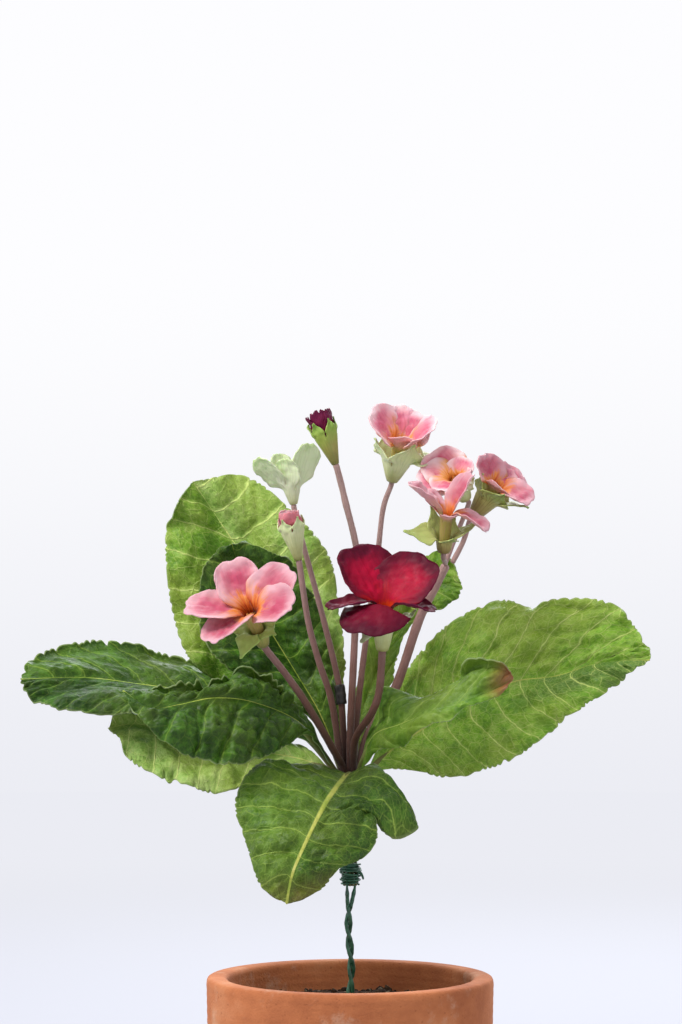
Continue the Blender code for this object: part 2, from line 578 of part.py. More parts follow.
def leaf_rows(leaf):
    """The leaf's stations: how far out each is, its midrib place, its way, and its two edges."""
    start = bundle_route(2, leaf.slot)
    tip = leaf.mid[-1]
    whole = spline(start + leaf.mid)
    first = (len(start) - 1) * SPLINE_STEPS
    stalk, blade = whole[:first + 1], whole[first:]
    minus = spline([start[-1], *leaf.minus, tip])
    plus = spline([start[-1], *leaf.plus, tip])
    rows = []
    for step in range(LEAF_STALK_STATIONS):
        share = step / LEAF_STALK_STATIONS
        way = unit(at_share(stalk, share + 0.05) - at_share(stalk, share))
        rows.append((0.0, at_share(stalk, share), way, None, None))
    for step in range(LEAF_STATIONS):
        q = LEAF_END * (1.0 - (1.0 - step / (LEAF_STATIONS - 1)) ** LEAF_TIP_CROWDING)
        way = unit(at_share(blade, min(1.0, q + 0.02)) - at_share(blade, max(0.0, q - 0.02)))
        rows.append((q, at_share(blade, q), way, at_share(minus, q), at_share(plus, q)))
    return rows


def make_leaf(leaf, materials, lift):
    """A closed loft: round where it is a wire and petiole, then wide and thin as the blade."""
    rows = leaf_rows(leaf)
    opened_row = next(row for row in rows if row[0] > LEAF_OPENS_AT)
    first_side = opened_row[4] - opened_row[3]
    across = -np.cos(np.pi * np.arange(LEAF_ACROSS) / (LEAF_ACROSS - 1))
    bulge = np.sqrt(np.clip(1.0 - across ** 2, 0.0, None))
    out = abs(across)[:, None]
    loops = []
    for q, centre, way, minus, plus in rows:
        raw = plus - minus if q > LEAF_OPENS_AT else first_side
        side = unit(raw - way * np.dot(way, raw))
        up = np.cross(side, way)
        stalk = rod_radius(centre[2], PETIOLE_RADIUS) if q == 0.0 else PETIOLE_RADIUS
        to_minus, to_plus = -side * stalk, side * stalk
        if q > 0.0 and np.linalg.norm(minus - centre) > stalk:
            to_minus = minus - centre
        if q > 0.0 and np.linalg.norm(plus - centre) > stalk:
            to_plus = plus - centre
        left = across[:, None] < 0
        reach = np.where(left, to_minus, to_plus)
        lean = np.where(left, np.cross(way, to_minus), np.cross(to_plus, way))
        lean = lean / np.linalg.norm(lean, axis=1)[:, None]
        lean = out * lean + (1.0 - out) * up
        lean = lean / np.linalg.norm(lean, axis=1)[:, None]
        opened = smooth_step(q / LEAF_FULL_AT)
        arch = leaf.arch * opened * smooth_step((1.0 - q) / LEAF_FLAT_TIP) * 4.0 * out * (1.0 - out)
        half = stalk + (LEAF_THICKNESS / 2 - stalk) * opened
        middle = centre + out * reach + arch * lean
        top = middle + half * bulge[:, None] * lean
        under = middle - half * bulge[:, None] * lean
        loops.append(np.concatenate([top, under[-2:0:-1]]))
    count = len(loops[0])
    points = np.concatenate(loops)
    faces = [list(range(count))[::-1], list(range(len(points) - count, len(points)))]
    for row in range(len(loops) - 1):
        for i in range(count):
            j = (i + 1) % count
            low, high = row * count, (row + 1) * count
            faces.append([low + i, low + j, high + j, high + i])
    return mesh_object(leaf.name, points, faces, materials[leaf.tint], lift)


def flower_ways(axis):
    """A flower's own directions: along its axis, towards the viewer, and to the right."""
    out = unit(axis)
    front = unit(np.array([0.0, -1.0, 0.0]) + out * out[1])
    return out, front, np.cross(out, front)


def lobe_width(share, outline):
    """The half width of a lobe along its length, as a share of its widest: it swells, then narrows."""
    swell = smooth_step(share / outline.widest_at)
    narrowing = smooth_step((share - outline.narrows_from) / (1.0 - outline.narrows_from))
    widening = outline.rim_width + (1.0 - outline.rim_width) * swell
    return float(widening * (1.0 - (1.0 - outline.end_width) * narrowing))


def rim_angles_of(lobes, cells):
    """The angles of the rim's points, in degrees: each lobe shares the rim halfway with the next."""
    bounds = []
    for index, lobe in enumerate(lobes):
        last = index == len(lobes) - 1
        following = lobes[0].azimuth + 360.0 if last else lobes[index + 1].azimuth
        bounds.append((lobe.azimuth + following) / 2)
    half = cells // 2
    angles = []
    for index, lobe in enumerate(lobes):
        before = bounds[index - 1] - (360.0 if index == 0 else 0.0)
        angles += [before + (lobe.azimuth - before) * i / half for i in range(half)]
        angles += [lobe.azimuth + (bounds[index] - lobe.azimuth) * i / half for i in range(half)]
    return angles


def make_whorl(name, base, axis, cup, lobes, outline, thickness, material, lift):
    """A closed cup on the axis whose rim carries the lobes, each of which opens, curls and cups.

    A lobe's middle line starts up the axis and turns to its opening angle. Across, the lobe starts
    on the round rim and becomes a flat or cupped strip of its own width.
    """
    out, front, right = flower_ways(axis)
    base = np.asarray(base, float)
    cells, rows = outline.cells, outline.rows
    foot, throat, height = cup
    lobes = sorted(lobes, key=lambda lobe: lobe.azimuth)
    points = [base]
    faces = []
    columns = len(lobes) * cells
    rim_angles = rim_angles_of(lobes, cells)

    def rim_point(angle, radius, z):
        turn = math.radians(angle)
        return base + out * z + radius * (math.cos(turn) * front + math.sin(turn) * right)

    flared = foot + (throat - foot) * CUP_FLARE_SHARE
    for radius, z in ((foot * CUP_FOOT_SHARE, 0.0), (flared, height * CUP_FLARE_HEIGHT), (throat, height)):
        points += [rim_point(angle, radius, z) for angle in rim_angles]
    for i in range(columns):
        j = (i + 1) % columns
        faces.append([0, 1 + j, 1 + i])
        for ring in range(2):
            low, high = 1 + ring * columns, 1 + (ring + 1) * columns
            faces.append([low + i, low + j, high + j, high + i])
    rim = 1 + 2 * columns
    fine = np.linspace(0.0, 1.0, LOBE_FINE_STEPS + 1)
    flare = math.atan2(throat - foot, height)
    for index, lobe in enumerate(lobes):
        theta = flare + (math.radians(lobe.opening) - flare) * smooth_step(fine / LOBE_TURN)
        theta = theta + math.radians(lobe.curl) * fine ** 2
        step = lobe.length / LOBE_FINE_STEPS
        reach = throat + np.concatenate([[0.0], np.cumsum(np.sin(theta[:-1]) * step)])
        climb = height + np.concatenate([[0.0], np.cumsum(np.cos(theta[:-1]) * step)])
        turn = math.radians(lobe.azimuth)
        radial = math.cos(turn) * front + math.sin(turn) * right
        sideways = -math.sin(turn) * front + math.cos(turn) * right
        first = len(points)
        for row in range(1, rows + 1):
            share = row / rows
            for i in range(cells + 1):
                t = 2.0 * i / cells - 1.0
                notch = outline.notch * math.exp(-(t / NOTCH_WIDTH) ** 2)
                at = share * (1.0 - notch - outline.rounding * abs(t) ** ROUNDING_POWER)
                offset = math.radians(rim_angles[(index * cells + i) % columns] - lobe.azimuth)
                offset = (offset + math.pi) % (2 * math.pi) - math.pi
                free = float(smooth_step(share / LOBE_FREE_AT))
                width = lobe.half_width * lobe_width(share, outline)
                lateral = throat * math.sin(offset) * (1 - free) + width * t * free
                inward = throat * (1 - math.cos(offset)) * (1 - free)
                inward += width * (lobe.cup * t * t + lobe.fold * abs(t) + lobe.lean * t) * free
                angle = float(np.interp(at, fine, theta))
                middle = base + out * np.interp(at, fine, climb) + radial * np.interp(at, fine, reach)
                inner = -math.cos(angle) * radial + math.sin(angle) * out
                points.append(middle + lateral * sideways + inward * inner)
        for i in range(cells):
            left = rim + (index * cells + i) % columns
            next_left = rim + (index * cells + i + 1) % columns
            faces.append([left, next_left, first + i + 1, first + i])
            for row in range(rows - 1):
                low, high = first + row * (cells + 1), first + (row + 1) * (cells + 1)
                faces.append([low + i, low + i + 1, high + i + 1, high + i])
    obj = mesh_object(name, points, faces, material, lift)
    wall = obj.modifiers.new("wall", "SOLIDIFY")
    wall.thickness = thickness * MM
    wall.offset = 0.0
    wall.use_even_offset = False
    return obj


def make_head(name, base, axis, low, high, radius, ridges, material, lift):
    """A closed head on the axis, such as a bud or a tuft of stamens, ridged round its sides."""
    out, front, right = flower_ways(axis)
    base = np.asarray(base, float)
    points = [base + out * low]
    faces = []
    for row in range(1, HEAD_ROWS):
        share = row / HEAD_ROWS
        full = radius * math.sin(math.pi * share ** HEAD_WIDEST_HIGH) ** HEAD_BLUNTNESS
        centre = base + out * (low + (high - low) * share)
        for i in range(HEAD_AROUND):
            turn = 2 * math.pi * i / HEAD_AROUND
            wide = full * (1.0 + ridges * math.cos(5 * turn + 2 * share))
            points.append(centre + wide * (math.cos(turn) * front + math.sin(turn) * right))
    points.append(base + out * high)
    last = 1 + (HEAD_ROWS - 2) * HEAD_AROUND
    for i in range(HEAD_AROUND):
        j = (i + 1) % HEAD_AROUND
        faces.append([0, 1 + j, 1 + i])
        for row in range(HEAD_ROWS - 2):
            lower, upper = 1 + row * HEAD_AROUND, 1 + (row + 1) * HEAD_AROUND
            faces.append([lower + i, lower + j, upper + j, upper + i])
        faces.append([last + i, last + j, len(points) - 1])
    return mesh_object(name, points, faces, material, lift)


def make_flower(flower, materials, lift):
    """A calyx on the stem's end, the corolla's tube and petals in it, and the stamens in the tube."""
    out = unit(flower.axis)
    base = head_base(flower)
    wall = CALYX_THICKNESS / 2 + PETAL_THICKNESS / 2 + GAP
    tube_base = base + out * wall
    calyx = Cup(TUBE_RADIUS + wall, flower.calyx_radius, flower.calyx_height)
    tube = Cup(TUBE_RADIUS, flower.throat, flower.tube - wall)
    make_whorl("calyx_" + flower.name, base, out, calyx, flower.sepals, SEPAL,
               CALYX_THICKNESS, materials["calyx"], lift)
    make_whorl("corolla_" + flower.name, tube_base, out, tube, flower.petals, PETAL,
               PETAL_THICKNESS, materials["corolla_" + flower.tint], lift)
    inside = TUBE_RADIUS * CUP_FOOT_SHARE - PETAL_THICKNESS / 2 - GAP
    top = flower.tube - wall + STAMENS_ABOVE_THROAT
    make_head("stamens_" + flower.name, tube_base, out, PETAL_THICKNESS / 2 + GAP, top,
              inside, 0.0, materials["eye"], lift)


def make_bud(bud, materials, lift):
    """A calyx on the stem's end, with a crumpled head of petals in it if it still has one."""
    out = unit(bud.axis)
    base = head_base(bud)
    cup = Cup(CALYX_FOOT_RADIUS, bud.calyx_radius, bud.calyx_height)
    if bud.head_to is None:
        make_whorl(bud.name, base, out, cup, bud.sepals, BLUNT_SEPAL,
                   CALYX_THICKNESS, materials["calyx"], lift)
        return
    make_whorl("calyx_" + bud.name, base, out, cup, bud.sepals, SEPAL,
               CALYX_THICKNESS, materials["calyx"], lift)
    make_head("petals_" + bud.name, base, out, bud.head_from, bud.head_to, bud.head_radius, BUD_RIDGES,
              materials["corolla_" + bud.tint], lift)


def main():
    clear_scene()
    materials = make_materials()
    lift = POT_HEIGHT - SOIL_BELOW_RIM + CROWN_ABOVE_SOIL
    make_pot(materials)
    make_soil(materials)
    make_wires(materials, lift)
    make_binding(materials, lift)
    for leaf in LEAVES:
        make_leaf(leaf, materials, lift)
    for stem in STEMS + PEDICELS:
        make_stem(stem, materials, lift)
    make_sleeve(materials, lift)
    for flower in FLOWERS:
        make_flower(flower, materials, lift)
    for bud in BUDS:
        make_bud(bud, materials, lift)


main()
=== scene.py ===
"""The look of an artificial primrose on a bound, twisted wire stem, standing in a plain clay pot.

The file is laid out as an add-on and is run as a script. Sizes inside it are in millimetres, with X to
the right, Y away from the viewer and Z up. Plant places are measured from the crown, where the leaves
and flower stems part, and are lifted to their height and turned to metres when a mesh is made.
"""

import math
from collections import namedtuple
from functools import partial
from itertools import combinations

import bpy
import numpy as np
from bpy.props import FloatProperty, FloatVectorProperty, IntProperty, PointerProperty
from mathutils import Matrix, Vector


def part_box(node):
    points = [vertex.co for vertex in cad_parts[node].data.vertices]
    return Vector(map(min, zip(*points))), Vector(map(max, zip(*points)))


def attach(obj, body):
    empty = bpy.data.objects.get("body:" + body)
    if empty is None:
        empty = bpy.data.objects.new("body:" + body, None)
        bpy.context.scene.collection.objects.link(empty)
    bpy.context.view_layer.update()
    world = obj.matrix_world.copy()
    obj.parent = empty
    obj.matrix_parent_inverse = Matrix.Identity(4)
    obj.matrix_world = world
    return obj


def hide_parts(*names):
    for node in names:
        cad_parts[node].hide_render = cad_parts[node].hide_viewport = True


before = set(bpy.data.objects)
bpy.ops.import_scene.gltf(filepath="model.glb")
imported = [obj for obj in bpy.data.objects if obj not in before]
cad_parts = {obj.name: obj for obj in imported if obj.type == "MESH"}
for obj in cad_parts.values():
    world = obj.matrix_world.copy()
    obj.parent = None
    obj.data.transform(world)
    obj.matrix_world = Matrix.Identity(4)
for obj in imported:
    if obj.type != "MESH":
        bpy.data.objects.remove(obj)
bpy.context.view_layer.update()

bl_info = {
    "name": "Potted primrose",
    "version": (1, 0, 0),
    "blender": (4, 5, 0),
    "location": "View3D > Sidebar > Primrose",
    "description": "Makes an artificial primrose in a clay pot, piece by piece, and its studio",
    "category": "Object",
}

MM = 0.001
BODY = "root"

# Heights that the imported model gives
POT_HIGH = np.array(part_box("pot")[1]) / MM
SOIL_LOW, SOIL_HIGH = (np.array(corner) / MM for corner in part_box("soil"))

CROWN_ABOVE_SOIL = 78.3
LIFT = SOIL_HIGH[2] + CROWN_ABOVE_SOIL

# The bundle under the crown: one wire in the middle, six round it, then up to twelve
BUNDLE_PITCH = 1
BUNDLE_ROD_RADIUS = 0.35
CROWN_SPREAD = 2.7
CROWN_SPREAD_POWER = 1.3
ROD_GROWTH = 0.44
CROWN_Z = -3
CONE_HEIGHTS = (-24, -17, -10)
RING_SLOTS = {1: 6, 2: 12}
BINDING_TOP = -31
BINDING_BOTTOM = -40
WIRE_JOIN_LENGTH = 6.5
WIRE_TWIST_PITCH = 15
WIRE_INTO_SOIL = 48
WIRE_BEND = 0.55
WIRE_BEND_HALF_WAVES = 2.2
WIRE_SLOTS = (1, 8)

STEM_END = 1.5
HEAD_GAP = 0.475
TUBE_WALL_GAP = 0.65
TUBE_RADIUS = 1.5
CALYX_FOOT_RADIUS = 1.3
CUP_FOOT_SHARE = 0.85
LOBE_TURN = 0.32
LOBE_FREE_AT = 0.4
LOBE_FINE_STEPS = 64

Leaf = namedtuple("Leaf", "name slot arch tint mid minus plus")
Stem = namedtuple("Stem", "name ring slot radius tip_radius route")
Lobe = namedtuple("Lobe", "azimuth opening curl length half_width cup fold lean", defaults=(0, 0, 0))
Flower = namedtuple("Flower", "name stem axis tube throat petals calyx_height calyx_radius sepals tint")
Bud = namedtuple("Bud", "name stem axis calyx_height calyx_radius sepals head_from head_to head_radius tint")

# Each leaf has three lines of points from the crown outwards: its midrib, and its edges on the two
# sides of it. The midrib's last point is the tip, where the edges meet it.
LEAVES = (
    Leaf("leaf_back_left", 3, 2, "leaf_light",
         [(-9.5, 15, 19), (-18.5, 21, 37), (-28, 25, 54.5), (-38, 28, 71.5), (-46, 28, 83.5),
          (-53.5, 25, 95)],
         [(-11, 15, 17), (-26.5, 18, 21.5), (-52, 18, 31.5), (-60.5, 22, 51), (-63, 25, 75),
          (-60.5, 26, 87.5)],
         [(-2, 14, 24.5), (-1.5, 17, 36), (-4, 22, 54.5), (-7.5, 26, 70.5), (-20.5, 28, 85.5),
          (-35.5, 28, 96.5)]),
    Leaf("leaf_inner_left", 4, 2, "leaf_dark",
         [(-10, 8, 16), (-18.5, 13, 30.5), (-27, 15, 44.5), (-33.5, 13, 57.5), (-37.5, 9, 67),
          (-39.5, 2, 74)],
         [(-12.5, 6, 14), (-29.5, 6, 24.5), (-46, 6, 36), (-51, 6, 51), (-49, 4, 66.5)],
         [(-4.5, 9, 20.5), (-6, 11, 36), (-9.5, 12, 50.5), (-15, 10, 61), (-23.5, 5, 70.5)]),
    Leaf("leaf_left", 5, 2, "leaf_dark",
         [(-17.5, 6, 12), (-37, 11, 19.5), (-54, 13, 23.5), (-70.5, 12, 26), (-89, 8, 28.5),
          (-110, -1, 28.5)],
         [(-16, 2, 9), (-35, -3, 14), (-53, -7, 16.5), (-74.5, -9, 19.5), (-92, -9, 19), (-106, -5, 22)],
         [(-20, 8, 15), (-42, 16, 22), (-55, 24, 32.5), (-75, 26, 37), (-94.5, 23, 38), (-107.5, 10, 34)]),
    Leaf("leaf_left_lower", 6, 1.5, "leaf_light",
         [(-16.5, 3, 1.5), (-32, 7, 4), (-47, 10, 7), (-62, 10, 10.5), (-72, 8, 13), (-81, 3, 12)],
         [(-15, 0, -2.5), (-29.5, -3, -7), (-42.5, -5, -8.5), (-56.5, -5, -5.5), (-70, -3, -0.5)],
         [(-15, 5, 5.5), (-29.5, 9, 9.5), (-47, 13, 13.5), (-64, 14, 18), (-76.5, 12, 20)]),
    Leaf("leaf_front_left", 7, 2.5, "leaf_dark",
         [(-16, -12, 13.5), (-31, -20, 21.5), (-44, -26, 23.5), (-55.5, -30, 21.5), (-65, -32, 20.5),
          (-74, -32, 26.5)],
         [(-14, -15, 10.5), (-23, -24, 6.5), (-35.5, -33, 2), (-47, -37, 4), (-57.5, -38, 8),
          (-68.5, -36, 16.5)],
         [(-15.5, -7, 16.5), (-23, -10, 24), (-34, -13, 31), (-47.5, -18, 26), (-62, -24, 26)]),
    Leaf("leaf_front", 9, 1.5, "leaf_dark",
         [(-2.5, -17, -4), (-7.5, -30, -9.5), (-11.5, -38, -16.5), (-16, -43, -25.5), (-19, -46, -33),
          (-20.5, -46, -41.5)],
         [(8, -12, 1), (13.5, -20, -4.5), (22, -26, -18.5), (14, -29, -21.5), (8.5, -29, -13.5),
          (8.5, -34, -21.5), (4, -37, -27.5), (-3.5, -40, -30.5), (-9, -43, -37)],
         [(-13.5, -9, 0.5), (-30, -19, 0.5), (-37.5, -31, -9), (-33.5, -39, -23), (-28, -43, -36)]),
    Leaf("leaf_back_right", 2, 1.5, "leaf_light",
         [(3.5, 13, 14), (8, 19, 27.5), (14.5, 24, 41), (21, 27, 52.5), (29, 27, 61), (37, 22, 62.5)],
         [(2, 13, 13.5), (2.5, 16, 27.5), (4.5, 20, 42.5), (11.5, 24, 58), (25.5, 26, 69.5), (34, 24, 70.5)],
         [(6, 12, 13), (14, 15, 25), (17.5, 19, 38.5), (23.5, 22, 48.5), (32.5, 22, 51.5), (37.5, 20, 56)]),
    Leaf("leaf_young_right", 10, 1.5, "leaf_dark",
         [(8, -12, 10), (16.5, -21, 14.5), (26, -28, 18.5), (35, -32, 22), (44.5, -33, 25.5),
          (53.5, -28, 30)],
         [(8.5, -3, 18), (11.5, -5, 26), (26, -18, 22.5), (36.5, -23, 29), (44.5, -26, 35),
          (50.5, -28, 34.5)],
         [(9, -15, 5.5), (17, -24, 8), (26.5, -34, 16.5), (36.5, -38, 20), (47.5, -36, 24)]),
    Leaf("leaf_right", 0, 2, "leaf_light",
         [(14, 8, 4.5), (27.5, 12, 13), (42, 14, 21.5), (55.5, 15, 27), (70, 14, 29), (84, 9, 33.5),
          (100.5, 1, 35)],
         [(14, 11, 17), (18, 13, 29), (30, 16, 44), (47.5, 18, 54), (66, 17, 55.5), (88.5, 13, 53.5),
          (99, 6, 41.5)],
         [(15.5, 5, -1.5), (30, 3, -4), (45.5, 2, -2), (60, 3, 6), (74.5, 4, 16), (90.5, 4, 27.5)]),
)

# Each flower stem runs from its place in the bundle through its route.
STEMS = (
    Stem("stem_pink_bud", 1, 3, 1.15, 1,
         [(-6, 0, 20.5), (-10.5, -2, 35), (-14, -4, 48.5), (-17, -6, 68)]),
    Stem("stem_empty_calyx", 1, 2, 1.1, 0.9,
         [(-2.8, 4, 19.5), (-4.2, 5, 29), (-9, 4, 49), (-15.5, 2, 73), (-18.7, 0, 86.5)]),
    Stem("stem_dark_bud", 0, 0, 1.25, 1.1,
         [(0.2, 1, 13), (1.7, 6, 44.5), (2.7, 11, 68), (-1.7, 12, 88.5), (-4.7, 10, 100)]),
    Stem("stem_top_flower", 1, 1, 1.1, 0.9,
         [(2.2, 6.5, 14.5), (5.6, 14, 43), (9.2, 18.5, 68), (11.2, 20, 85), (14.2, 20, 94.5)]),
    Stem("stem_dark_flower", 1, 5, 1.25, 1.25,
         [(1.6, -4.2, 8.4), (7.2, -12, 18.2), (9.6, -13.5, 25.5), (10.6, -14, 38.5)]),
    Stem("stem_umbel", 1, 0, 1.6, 1.5,
         [(6, 3, 9.7), (15.1, 7, 25), (23.2, 10, 48), (29, 10, 60), (32, 10, 66)]),
    Stem("stem_front_flower", 1, 4, 1.25, 1.15,
         [(-6.5, -9.5, 7.4), (-14.5, -20, 21.7), (-21.3, -26, 31.8), (-28, -30, 41)]),
)

# The three short stems that leave the head of the umbel stem
PEDICELS = (
    Stem("pedicel_star", None, None, 0.9, 0.9,
         [(32, 9, 67.3), (31.4, 1.5, 68.4), (31.1, -4, 70.6)]),
    Stem("pedicel_middle", None, None, 0.8, 0.8,
         [(32.4, 10.4, 67.8), (36, 12, 77), (39.2, 10.6, 88.2)]),
    Stem("pedicel_outer", None, None, 0.9, 0.9,
         [(34.6, 10.4, 67.6), (38.2, 12.6, 74.5), (41.3, 15, 82.5)]),
)


def five(openings, curl, length, half_width):
    """Five even lobes that differ only in how far each one opens."""
    return [(36 + 72 * step, opening, curl, length, half_width, 0.1) for step, opening in enumerate(openings)]


# Each petal or sepal is a row of a lobe's values. Azimuth 0 is the side of the flower towards the
# viewer, and 90 its right side.
FLOWERS = (
    Flower("front", "stem_front_flower", (-0.3, -0.6, 0.74), 12, 2.4,
           ((54, 78, 0, 18.5, 7.6, 0.14, 0, 0.22), (106, 74, 0, 20, 7.8, 0.12, 0, 0.24),
            (178, 60, 0, 20.5, 7.6, 0.12, 0, 0.24), (250, 74, 0, 22, 8.6, 0.13, 0, 0.2),
            (304, 84, 0, 19.5, 8.6, 0.14, 0, 0.22)),
           6, 3, ((35, 85, 10, 7, 3.6), (100, 80, 10, 7, 3.6), (175, 80, 10, 7, 3.6), (245, 85, 10, 8, 3.8),
            (318, 104, 10, 11, 4.6)), "pink"),
    Flower("dark", "stem_dark_flower", (0.05, -0.22, 0.97), 13, 2.6,
           ((440, 94, 6, 17, 5.5, 0.15), (122, 48, 0, 23, 10.6, 0.12, 0, 0.5),
            (228, 44, 0, 24.5, 11.2, 0.14, 0, -0.25), (284, 98, 6, 20, 5, 0.15),
            (335, 112, 18, 20.5, 12, -0.12)),
           7, 3.2, ((36, 66, 10, 11.5, 5.4), (100, 58, 0, 10.5, 5), (180, 40, 0, 8.5, 4.2),
            (255, 56, 0, 9, 4.4), (318, 120, 20, 10, 4)), "dark"),
    Flower("top", "stem_top_flower", (0.2, -0.35, 0.91), 12, 2.4,
           ((8, 36, 0, 7.5, 5.6, 0.1), (74, 42, 0, 15.5, 9, 0.16, 0, 0.35),
            (142, 34, 0, 13.5, 7.4, 0.1, 0, 0.3), (212, 34, 0, 14.5, 8, 0.1, 0, -0.3),
            (280, 50, 0, 16, 9.4, 0.16, 0, -0.5)),
           6.5, 4.6, ((28, 26, 0, 12, 6.8), (92, 74, 0, 14, 7.6), (150, 44, 0, 10.5, 6.4),
            (225, 36, 0, 8.5, 5.6), (300, 34, 0, 10.5, 6.2)), "pink"),
    Flower("middle", "pedicel_middle", (-0.45, -0.35, 0.82), 7.5, 2.2,
           ((40, 80, 0, 6, 4.5, 0.1), (110, 58, 0, 7.5, 5.4, 0.1, 0, 0.5), (196, 48, 0, 13.5, 8.2, 0.1),
            (262, 72, 0, 12.5, 8, 0.08, 0, -0.6), (320, 86, 0, 9, 7, 0.08, 0, -0.4)),
           3.5, 2.8, five((98, 92, 75, 80, 92), 0, 4, 2.8), "pink"),
    Flower("outer", "pedicel_outer", (0.6, -0.2, 0.77), 11, 2.3,
           ((10, 60, 0, 6, 4.6, 0.1), (84, 66, 24, 13, 7.6, 0.14, 0, 0.35),
            (148, 54, 10, 13.5, 8, 0.1, 0, 0.3), (206, 54, 0, 12, 7.6, 0.1, 0, -0.2),
            (264, 56, 0, 12, 7.6, 0.12, 0, -0.5)),
           7, 4, ((20, 44, 10, 9.5, 6.2), (85, 46, 36, 12, 6.4), (150, 40, 0, 9, 5), (225, 34, 0, 7, 4),
            (298, 30, 0, 8, 5)), "pink"),
    Flower("star", "pedicel_star", (0.06, -0.26, 0.96), 10.5, 1.9,
           ((15, 62, 0, 6, 3, 0.1, 0.2), (72, 104, 24, 15.5, 4.6, 0.1, 0.3), (118, 30, 0, 18, 4.6, 0.1, 0.45),
            (232, 60, 0, 13, 4.2, 0.1, 0.3), (278, 52, 0, 18, 4.8, 0.1, 0.35)),
           3, 2.6, ((20, 64, 0, 6.5, 3.6), (96, 54, 0, 12.5, 5), (155, 36, 0, 9, 4), (216, 34, 0, 12.5, 4.2),
            (284, 84, 0, 13.5, 5.4, 0.1, 0, -0.5)), "pink"),
)

# Buds and the calyx that has lost its flower: a closed calyx with a crumpled head in it, or none
BUDS = (
    Bud("dark_bud", "stem_dark_bud", (-0.32, -0.05, 0.94), 9.5, 3.7,
        five((6, 10, 8, 4, 4), 0, 6, 2.6), 7, 20, 3.5, "dark"),
    Bud("pink_bud", "stem_pink_bud", (-0.2, -0.08, 0.98), 9.5, 3.7,
        five((6, 8, 8, 4, 6), 0, 5, 2.6), 6.5, 18, 3.2, "pink"),
    Bud("empty_calyx", "stem_empty_calyx", (-0.13, -0.03, 0.99), 4, 2.4,
        ((350, 14, 0, 12, 4.6, -0.06, 0, -0.3), (64, 24, 0, 17, 5, -0.06, 0.05, -0.6),
         (140, 14, 0, 12, 4, 0, 0.1), (212, 16, 0, 14, 4.8, 0, 0.1),
         (280, 38, 0, 15.5, 5.6, -0.06, 0.05, 0.5)),
        None, None, None, None),
)


# The fine shape of a lobe: how its width runs, how its end is cut, and how finely it is gridded
Outline = namedtuple("Outline", "rim_width widest_at narrows_from end_width notch notch_width rounding "
                     "cells rows cupping")
PETAL = Outline(0.34, 0.58, 0.75, 0.96, 0.055, 0.24, 1, 28, 26, 2)
SEPAL = Outline(0.6, 0.4, 0.4, 0.15, 0, 0.3, 0.3, 12, 14, 1)
BLUNT_SEPAL = Outline(0.34, 0.6, 0.75, 0.95, 0.03, 0.2, 1, 14, 18, 1)
BUD_PETAL = Outline(0.4, 0.55, 0.7, 0.8, 0.03, 0.25, 0.8, 16, 18, 1)
CUP_ROWS = 10

# How each leaf is finished: its side veins and their slant, how dark its two halves are, how strong
# its veins and its puckering are, its teeth, its waves, half its midrib's width, how yellow that is,
# how brown its tip is, how dark the painted shade in the fold beside its midrib is, the places where its
# margin rolls up, where its rows swing upwards, and where it is dented along a side vein. A half whose
# darkness is below 0 is paler and greyer instead, partly painted sheen.
Roll = namedtuple("Roll", "side start end share turn")
Swing = namedtuple("Swing", "side start end height")
Dent = namedtuple("Dent", "side at width cut depth")
Finish = namedtuple("Finish", "veins slant dark_minus dark_plus vein_strength pucker teeth wave rib gold "
                    "rust fold rolls swings dents", defaults=((), (), ()))
FINISHES = {
    # Its plus half, below 0, is painted sheen: a paler, greyer half where the light catches it
    "leaf_back_left": Finish(
        10, 0.13, 0.3, -0.22, 0.7, 0.6, 0.7, 0.7, 0.55, 0.15, 0, 0, rolls=[Roll(-1, 0.74, 1, 0.7, 80)],
        dents=[Dent(-1, 0.8, 0.035, 0, 2.5)]),
    "leaf_inner_left": Finish(
        8, 0.12, 0.98, 0.92, 0.3, 1.1, 0.5, 1, 0.5, 0.65, 0, 0),
    "leaf_left": Finish(
        11, 0.12, 1, 0.9, 0.36, 0.5, 0.6, 0.8, 0.75, 0.35, 0, 0, rolls=[Roll(1, 0.25, 0.95, 0.82, 70)],
        dents=[Dent(-1, 0.45, 0.09, 1.5, 2.5), Dent(-1, 0.78, 0.07, 0.5, 2)]),
    "leaf_left_lower": Finish(
        9, 0.12, -0.24, -0.18, 0.8, 0.8, 1.3, 0.9, 0.45, 0.4, 0, 0),
    "leaf_front_left": Finish(
        8, 0.14, 0.96, 0.9, 0.2, 1.7, 0.6, 1.3, 0.45, 0.5, 0, 0, rolls=[Roll(1, 0.25, 0.95, 0.78, 120)]),
    "leaf_front": Finish(
        9, 0.1, 0.9, 0.72, 0.55, 1.1, 0.6, 0.9, 1.5, 0.8, 0.25, 0, swings=[Swing(-1, 0.12, 0.52, 6.5)]),
    "leaf_back_right": Finish(
        8, 0.12, 0.2, 0.5, 0.6, 0.8, 0.9, 0.8, 0.4, 0.7, 0, 0, rolls=[Roll(-1, 0.8, 1, 0.6, 80)]),
    "leaf_young_right": Finish(
        7, 0.14, 0.6, 0.48, 0.22, 0.6, 0.4, 0.8, 0.3, 0.3, 1, 0, rolls=[Roll(-1, 0.55, 1, 0.72, 130)]),
    "leaf_right": Finish(
        12, 0.13, 0.14, 0.18, 1, 1.1, 0.8, 1.3, 0.6, 0.8, 0, 0.75, dents=[Dent(-1, 0.44, 0.04, 3.2, 2.4),
        Dent(-1, 0.74, 0.05, 0.6, 1.5), Dent(1, 0.55, 0.04, 0.8, 2)]),
}

# A shape is its points, its faces as arrays of equal corners, and named values at its points
Shape = namedtuple("Shape", "points faces notes")


